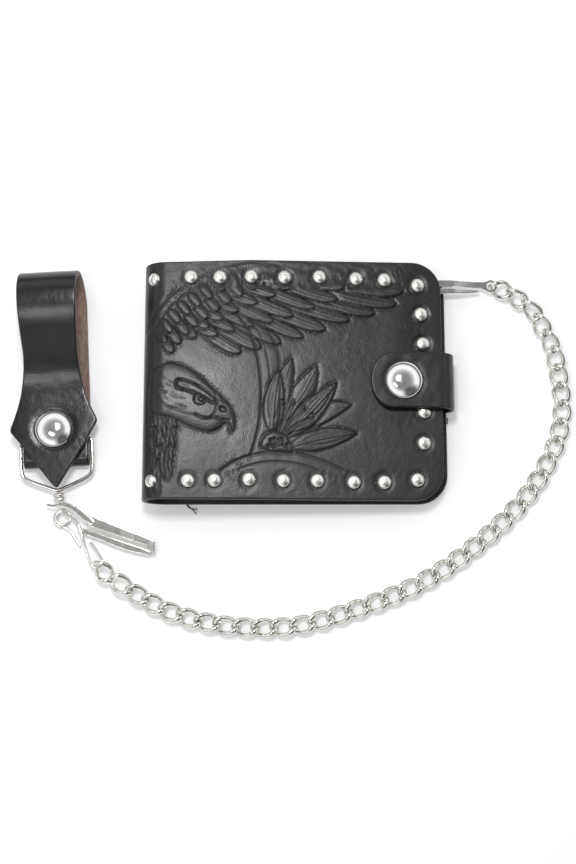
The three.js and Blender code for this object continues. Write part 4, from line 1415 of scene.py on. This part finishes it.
# %% Dome studs
dome = [(2.72, -0.25), (3.02, -0.1), (3.05, 0.05), (2.95, 0.28)]
dome += [(2.92 * math.cos(a) ** 0.86, 0.28 + 1.86 * math.sin(a))
         for a in np.radians(np.arange(12, 90, 9))] + [(0.0, 2.14)]
one_stud = turned_part("one_stud", [(0.0, -0.25)] + dome, 28)
tilts = np.random.default_rng(3)
COVER_TILT = math.degrees(TILT)
for k in range(1, 24):
    cad, on_spine = f"dome_stud_{k:02d}", k >= 22
    base_tilt = -42 if on_spine else COVER_TILT
    stud = bpy.data.objects.new(f"stud_{k:02d}", one_stud.data.copy())
    scene.collection.objects.link(stud)
    lean = tilts.uniform(-3, 3, 2)
    if on_spine:
        move_points(stud, lambda p: p * 0.9)
    put(stud, box_middle(cad) - leaning(base_tilt) * 1.03, base_tilt + lean[0], lean[1])
    if on_spine:
        seat(stud, ("spine", "front_cover_assembly"), stud_nickel, [cad],
             bend=FRONT_TURN)
    else:
        seat(stud, "front_cover_assembly", stud_nickel, [cad])
bpy.data.objects.remove(one_stud)

# %% Snap caps
cap_profile = soft_profile([(0.0, 3.42), (1.6, 3.38), (3.2, 3.14), (4.8, 2.66), (6.1, 1.98),
                            (7.0, 1.30), (7.48, 0.78)])[:-1]
cap_profile += [(7.50, 0.72), (7.62, 0.50), (7.58, 0.28), (7.40, 0.14), (6.9, 0.06), (1.3, 0.02),
                (1.3, -1.7), (0.0, -1.7)]
for name, cad, body, tilt_y in (("tab_cap", "tab_snap_cap", "tab_end", COVER_TILT),
                                ("loop_cap", "loop_snap_cap", "strap_front", 0.0)):
    cap = turned_part(name, cap_profile, 64)
    put(cap, box_middle(cad) - leaning(tilt_y) * 0.85, tilt_y)
    seat(cap, body, chrome, [cad])

# %% Sockets, snap studs and the eyelet
socket_ring = [(2.4, 0.15), (2.55, 0.0), (4.7, 0.0), (5.0, 0.2), (5.0, 0.8), (4.7, 1.0), (3.9, 1.0),
               (3.7, 0.8), (2.9, 0.8), (2.7, 1.0), (2.4, 0.85), (2.4, 0.15)]
post = [(0.0, 0.95), (1.1, 0.93), (1.6, 0.86), (1.88, 0.62), (1.7, 0.4), (1.45, 0.28), (1.5, 0.05),
        (1.7, 0.0), (0.0, 0.0)]
flange_post = [(0.0, 1.0), (1.1, 0.98), (1.55, 0.88), (1.8, 0.68), (1.6, 0.5), (1.3, 0.35),
               (1.3, -2.3), (3.3, -2.34), (3.6, -2.5), (3.55, -2.85), (3.1, -3.0), (0.0, -3.0)]
rolled_eyelet = [(2.4, 0.45), (2.55, 0.3), (2.85, 0.3), (3.0, 0.45), (3.0, 3.6), (4.4, 3.6),
                 (4.6, 3.75), (4.55, 4.0), (4.0, 4.16), (3.1, 4.2), (2.65, 4.12), (2.4, 3.8),
                 (2.4, 0.45)]
for name, cad, body, profile, foot, tilt_y in (
        ("tab_socket_ring", "tab_snap_socket", "tab_end", socket_ring, 0.5, COVER_TILT),
        ("loop_socket_ring", "loop_snap_socket", "strap_front", socket_ring, 0.5, 0.0),
        ("cover_snap_post", "tab_snap_stud", "front_cover_assembly", flange_post, -1.0,
         COVER_TILT),
        ("loop_snap_post", "loop_snap_stud", "strap_back", post, 0.475, 0.0),
        ("clip_eyelet", "corner_eyelet", "wallet_back", rolled_eyelet, 2.25, 0.0)):
    piece = put(turned_part(name, profile, 36), box_middle(cad) - leaning(tilt_y) * foot, tilt_y)
    seat(piece, body, nickel, [cad])

# %% [markdown]
# The ring is one wire with a straight bar, two straight sides and a shallow point, so the swivel
# always finds the middle. The hook is a finer spring wire, wound twice and drawn out into a long
# narrow loop. Both are laid on the CAD's own line, with the corners bent as wire bends.

# %% Ring and hook
ring_corners = [(-13.9, -3.0), (13.9, -3.0), (14.5, -4.0), (14.5, -16.2), (12.8, -19.2),
                (0.9, -24.0), (-0.9, -24.0), (-12.8, -19.2), (-14.5, -16.2), (-14.5, -4.0)]
ring_line = rounded(ring_corners, 3)
ring_line = even_line(np.vstack([ring_line, ring_line[:1]]), 150)[:-1]
ring = wire_piece("loop_ring", strap_at(np.c_[ring_line, np.full(len(ring_line), 3.15)]), 0.85,
                  closed=True, sides=4)
seat(ring, "wallet_back", nickel, ["strap_ring"])

COIL = (-90.6, -35.6)
hook_line = [(-83.2, -47.2, 0.8), (-85.0, -44.6, 0.8), (-87.2, -41.4, 0.8)]
for a in range(-80, -681, -30):
    wound = -80 - a
    r = 3.75 - 1.5 * wound / 600
    hook_line.append((COIL[0] + r * math.cos(math.radians(a)),
                      COIL[1] + r * math.sin(math.radians(a)), 0.75 + 1.3 * wound / 360))
hook_line += [(-85.2, -36.8, 3.4), (-83.2, -40.6, 3.8), (-81.8, -45.0, 3.9), (-79.9, -50.8, 3.7),
              (-78.4, -54.5, 3.6), (-77.2, -55.6, 3.6), (-75.5, -55.4, 3.6), (-74.2, -54.2, 3.6),
              (-74.3, -52.6, 3.5), (-76.6, -49.0, 2.6), (-79.4, -45.4, 1.6)]
hook = wire_piece("spring_hook", smooth_line(hook_line, 300), 0.60, sides=3, thin=filed_ends(300))
seat(hook, "wallet_back", nickel, ["chain_hook"])

# %% Swivel
swivel_profile = soft_profile([(1.3, 0.0), (2.1, 0.08), (2.5, 0.5), (2.5, 1.2), (2.2, 1.6),
                               (1.8, 1.8), (2.2, 2.0), (2.6, 2.4), (2.6, 3.0), (2.2, 3.42),
                               (1.3, 3.5)])
swivel = turned_part("swivel_drum", [(0.0, 0.0)] + swivel_profile + [(0.0, 3.5)], 32)
put(swivel, (-91.6, -29.4, 3.2), tilt_x=-90, turn_z=12)
seat(swivel, "swivel", nickel, ["swivel_barrel"])

# %% [markdown]
# Both clips are strips of sheet metal. A strip starts as a filled circle whose points are moved to
# the strip's outline, is drawn up to its thickness and gets its edges rolled with a bevel. Its
# large flat faces then outweigh the small rolled ones in the shading, or the shine would smear
# across them. The wallet's clip also slopes down from the bill space to the chain.

# %% Helper: a strip of sheet metal
def strip(name, outline, low, high, roll, passes=2):
    outline = rounded(outline, passes) if passes else np.asarray(outline, float)
    clear_selection()
    bpy.ops.mesh.primitive_circle_add(vertices=len(outline), radius=0.01, fill_type="NGON")
    piece = bpy.context.active_object
    piece.name = name
    area = 0.5 * np.sum(outline[:, 0] * np.roll(outline[:, 1], -1)
                        - np.roll(outline[:, 0], -1) * outline[:, 1])
    outline = outline if area > 0 else outline[::-1]
    move_points(piece, lambda p: np.c_[outline, np.full(len(outline), low)])
    bpy.ops.object.mode_set(mode="EDIT")
    bpy.ops.mesh.select_all(action="SELECT")
    bpy.ops.mesh.extrude_region_move(TRANSFORM_OT_translate={"value": (0, 0, high - low)})
    bpy.ops.object.mode_set(mode="OBJECT")
    face_outwards(piece)
    apply_modifier(piece, "BEVEL", width=roll, segments=3, limit_method="ANGLE",
                   angle_limit=math.radians(50))
    return piece


def to_frame(piece):
    move_points(piece, at)
    return piece


def even_faces(piece):
    smooth(piece, 35)
    apply_modifier(piece, "WEIGHTED_NORMAL", mode="FACE_AREA", weight=100, keep_sharp=True)


# %% The wallet's clip
CLIP_EYE = (83.8, 60.6)
clip_outline = [(45.6, 62.8), (66, 62.6), (80.4, 62.4)]
clip_outline += [(CLIP_EYE[0] + 2.7 * math.cos(a), CLIP_EYE[1] + 2.7 * math.sin(a))
                 for a in (math.radians(turn) for turn in range(130, -131, -20))]
clip_outline += [(79.6, 59.7), (68.8, 60.3), (67.2, 59.8), (49.4, 59.8), (49.4, 59.4), (47.6, 59.4),
                 (47.6, 55.4), (45.6, 55.4)]
clip = strip("clip_strip", clip_outline, 4.7, 6.1, 0.32, passes=0)


def cut_across(piece, positions):
    select_only(piece)
    bpy.ops.object.mode_set(mode="EDIT")
    for x in positions:
        bpy.ops.mesh.select_all(action="SELECT")
        bpy.ops.mesh.bisect(plane_co=(x, 0, 0), plane_no=(1, 0, 0))
    bpy.ops.object.mode_set(mode="OBJECT")


SLOPE_CUTS = (66.5, 68.5, 71, 74, 77, 78.5)
SLOPE_DROPS = (0, -0.1, -0.75, -1.4, -1.85, -1.9)


def lower_to_chain(piece):
    def lowered(p):
        return np.c_[p[:, :2], p[:, 2] + np.interp(p[:, 0], SLOPE_CUTS, SLOPE_DROPS)]

    cut_across(piece, SLOPE_CUTS)
    move_points(piece, lowered)
    to_frame(piece)


lower_to_chain(clip)
punch(clip, *CLIP_EYE, 1.75, 1, 6)
tongue = strip("clip_tongue", [(46.1, 60.1), (47.9, 60.1), (47.9, 61.9), (46.1, 61.9)], 0.6, 5.0,
               0.3, passes=0)
to_frame(tongue)
join_to(clip, tongue)
even_faces(clip)
seat(clip, "wallet_back", nickel, ["wallet_clip_body"])
gate = strip("clip_gate", [(48.1, 59.1), (67, 59.2), (78.9, 59.0), (78.9, 57.9), (67, 56.9),
                           (48.1, 56.2)], 4.7, 6.1, 0.4, passes=1)
lower_to_chain(gate)
even_faces(gate)
seat(gate, "wallet_clip_arm", nickel, ["wallet_clip_gate"])

# %% The key clip
neck = strip("key_clip_neck", [(-92.3, -29.7), (-90.4, -29.5), (-87.8, -29.9), (-84.6, -31.4),
                               (-79.6, -35.0), (-77.4, -37.4), (-77.6, -38.4), (-79.4, -38.6),
                               (-82.6, -36.2), (-87.0, -32.5), (-92.1, -31.2)], 3.6, 4.9, 0.35)
to_frame(neck)
key_clip = strip("key_clip_back", [(-81.2, -35.6), (-79.2, -34.9), (-66.0, -39.9), (-54.0, -44.5),
                                   (-52.9, -45.8), (-52.9, -50.2), (-54.2, -50.2),
                                   (-54.2, -47.9), (-66.2, -43.8), (-80.8, -39.0)], 1.0, 3.9, 0.75)
to_frame(key_clip)
lip = strip("key_clip_lip", [(-56.6, -46.6), (-53.4, -45.6), (-53.2, -49.8), (-55.2, -49.4)],
            3.5, 4.1, 0.15, passes=1)
to_frame(lip)
pin = wire_piece("swivel_pin", smooth_line([(-97.0, -30.4, 3.4), (-94.6, -31.0, 3.5),
                                            (-91.6, -30.6, 3.9), (-89.2, -30.7, 4.2)], 24), 0.5,
                 sides=3, thin=filed_ends(24))
join_to(key_clip, pin, neck, lip)
even_faces(key_clip)
seat(key_clip, "wallet_back", nickel, ["key_clip_body"])
key_gate = strip("key_clip_spring", [(-84.6, -39.7), (-81.5, -39.8), (-74, -42.3), (-66.0, -45.0),
                                     (-54.9, -48.7), (-54.7, -51.3), (-60, -50.1), (-66.8, -48.3),
                                     (-75, -44.9), (-84.2, -41.7)], 0.6, 2.5, 0.5)
to_frame(key_gate)
even_faces(key_gate)
seat(key_gate, "key_clip_arm", nickel, ["key_clip_gate"])

# %% [markdown]
# Hand sewing leaves its ends. Two short tails of thread stick out below the lower edge near the
# spine, and one small knot sits at the opening edge. They are thin wires of the thread finish.

# %% Thread tails
for name, line in (("thread_tail_long", [(-41.5, -28.8, 1.3), (-39.8, -31.0, 1.0),
                                         (-38.2, -32.4, 0.7), (-36.9, -33.9, 0.5)]),
                   ("thread_tail_short", [(-41.2, -28.8, 1.3), (-40.4, -30.9, 1.0),
                                          (-38.9, -31.7, 0.8), (-36.4, -31.9, 0.6)]),
                   ("thread_knot", [(63.6, 5.6, 1.6), (64.9, 5.3, 1.9), (65.0, 4.6, 1.2),
                                    (64.6, 4.3, 1.9), (65.0, 3.6, 1.6), (64.4, 3.0, 1.3)])):
    tail = wire_piece(name, smooth_line(line, 24), 0.22, sides=2, thin=filed_ends(24, 0.4))
    seat(tail, "wallet_back", thread)

# %% [markdown]
# The table is a wide pale sheet with a faint glow of its own, so that shadows on it stay light.
# Most of the light is a surround that is bright at the sides and dimmer overhead and near the
# table. Polished domes only look round if they have something dark to reflect, so the surround
# also has a dark patch at the lower right. Two small soft lamps, one above and one at the left,
# draw the highlights on the leather.

# %% Table and light
clear_selection()
bpy.ops.mesh.primitive_plane_add(size=3.0, location=(0, 0, -0.0002))
table = bpy.context.active_object
table.name = "table_top"
paper, shader = finish("pale_table", (0.93, 0.93, 0.94), 0.9, specular=0.1)
wire_up(paper, tint(paper, cloud(paper, 3.0), (0.92, 0.92, 0.93), (0.94, 0.94, 0.945)),
        shader.inputs["Base Color"])
shader.inputs["Emission Color"].default_value = (0.98, 0.985, 1.0, 1)
shader.inputs["Emission Strength"].default_value = 0.18
table.data.materials.append(paper)

world = bpy.data.worlds.new("studio")
scene.world = world
world.use_nodes = True
sky = world.node_tree
looking = sky.nodes.new("ShaderNodeTexCoord").outputs["Generated"]
height_up = sky.nodes.new("ShaderNodeSeparateXYZ")
sky.links.new(looking, height_up.inputs["Vector"])
dome_ramp = sky.nodes.new("ShaderNodeValToRGB")
sky.links.new(height_up.outputs["Z"], dome_ramp.inputs["Fac"])
stops = dome_ramp.color_ramp.elements
stops[0].position, stops[0].color = 0.03, (0.62, 0.62, 0.63, 1)
stops[1].position, stops[1].color = 0.98, (0.22, 0.225, 0.23, 1)
for position, level in ((0.10, 0.07), (0.20, 0.12), (0.36, 0.95), (0.66, 1.10),
                        (0.86, 0.36)):
    stop = stops.new(position)
    stop.color = (level, level * 1.005, level * 1.02, 1)
corner = sky.nodes.new("ShaderNodeVectorMath")
corner.operation = "DOT_PRODUCT"
corner.inputs[1].default_value = (0.55, -0.62, 0.56)
sky.links.new(looking, corner.inputs[0])
shade = sky.nodes.new("ShaderNodeMapRange")
for name, value in (("From Min", 0.80), ("From Max", 0.95), ("To Min", 1.0), ("To Max", 0.12)):
    shade.inputs[name].default_value = value
sky.links.new(corner.outputs["Value"], shade.inputs["Value"])
darker = sky.nodes.new("ShaderNodeVectorMath")
darker.operation = "SCALE"
sky.links.new(dome_ramp.outputs["Color"], darker.inputs[0])
sky.links.new(shade.outputs["Result"], darker.inputs["Scale"])
sky.links.new(darker.outputs["Vector"], sky.nodes["Background"].inputs["Color"])
sky.nodes["Background"].inputs["Strength"].default_value = 1.0


def soft_lamp(name, place, target, wide, deep, power):
    data = bpy.data.lights.new(name, "AREA")
    data.shape = "RECTANGLE"
    data.size, data.size_y = wide, deep
    data.energy = power
    lamp = bpy.data.objects.new(name, data)
    scene.collection.objects.link(lamp)
    lamp.location = place
    lamp.rotation_euler = (Vector(target) - Vector(place)).to_track_quat("-Z", "Y").to_euler()


soft_lamp("top_lamp", (-0.03, 0.12, 0.52), (-0.03, 0, 0), 0.10, 0.10, 1.15)
soft_lamp("side_lamp", (-0.17, -0.09, 0.50), (-0.08, 0.04, 0), 0.14, 0.07, 0.26)
table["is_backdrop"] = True
print("lit by", world.name, "and two soft lamps")

# %% [markdown]
# Last, the size of the finished wallet is printed, as the CAD's own was at the start, so that the
# two can be compared.

# %% Print the finished size
clear_selection()
made_box = [list(map(float, corner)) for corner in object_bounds()]
print("made box", [[round(v, 4) for v in corner] for corner in made_box])
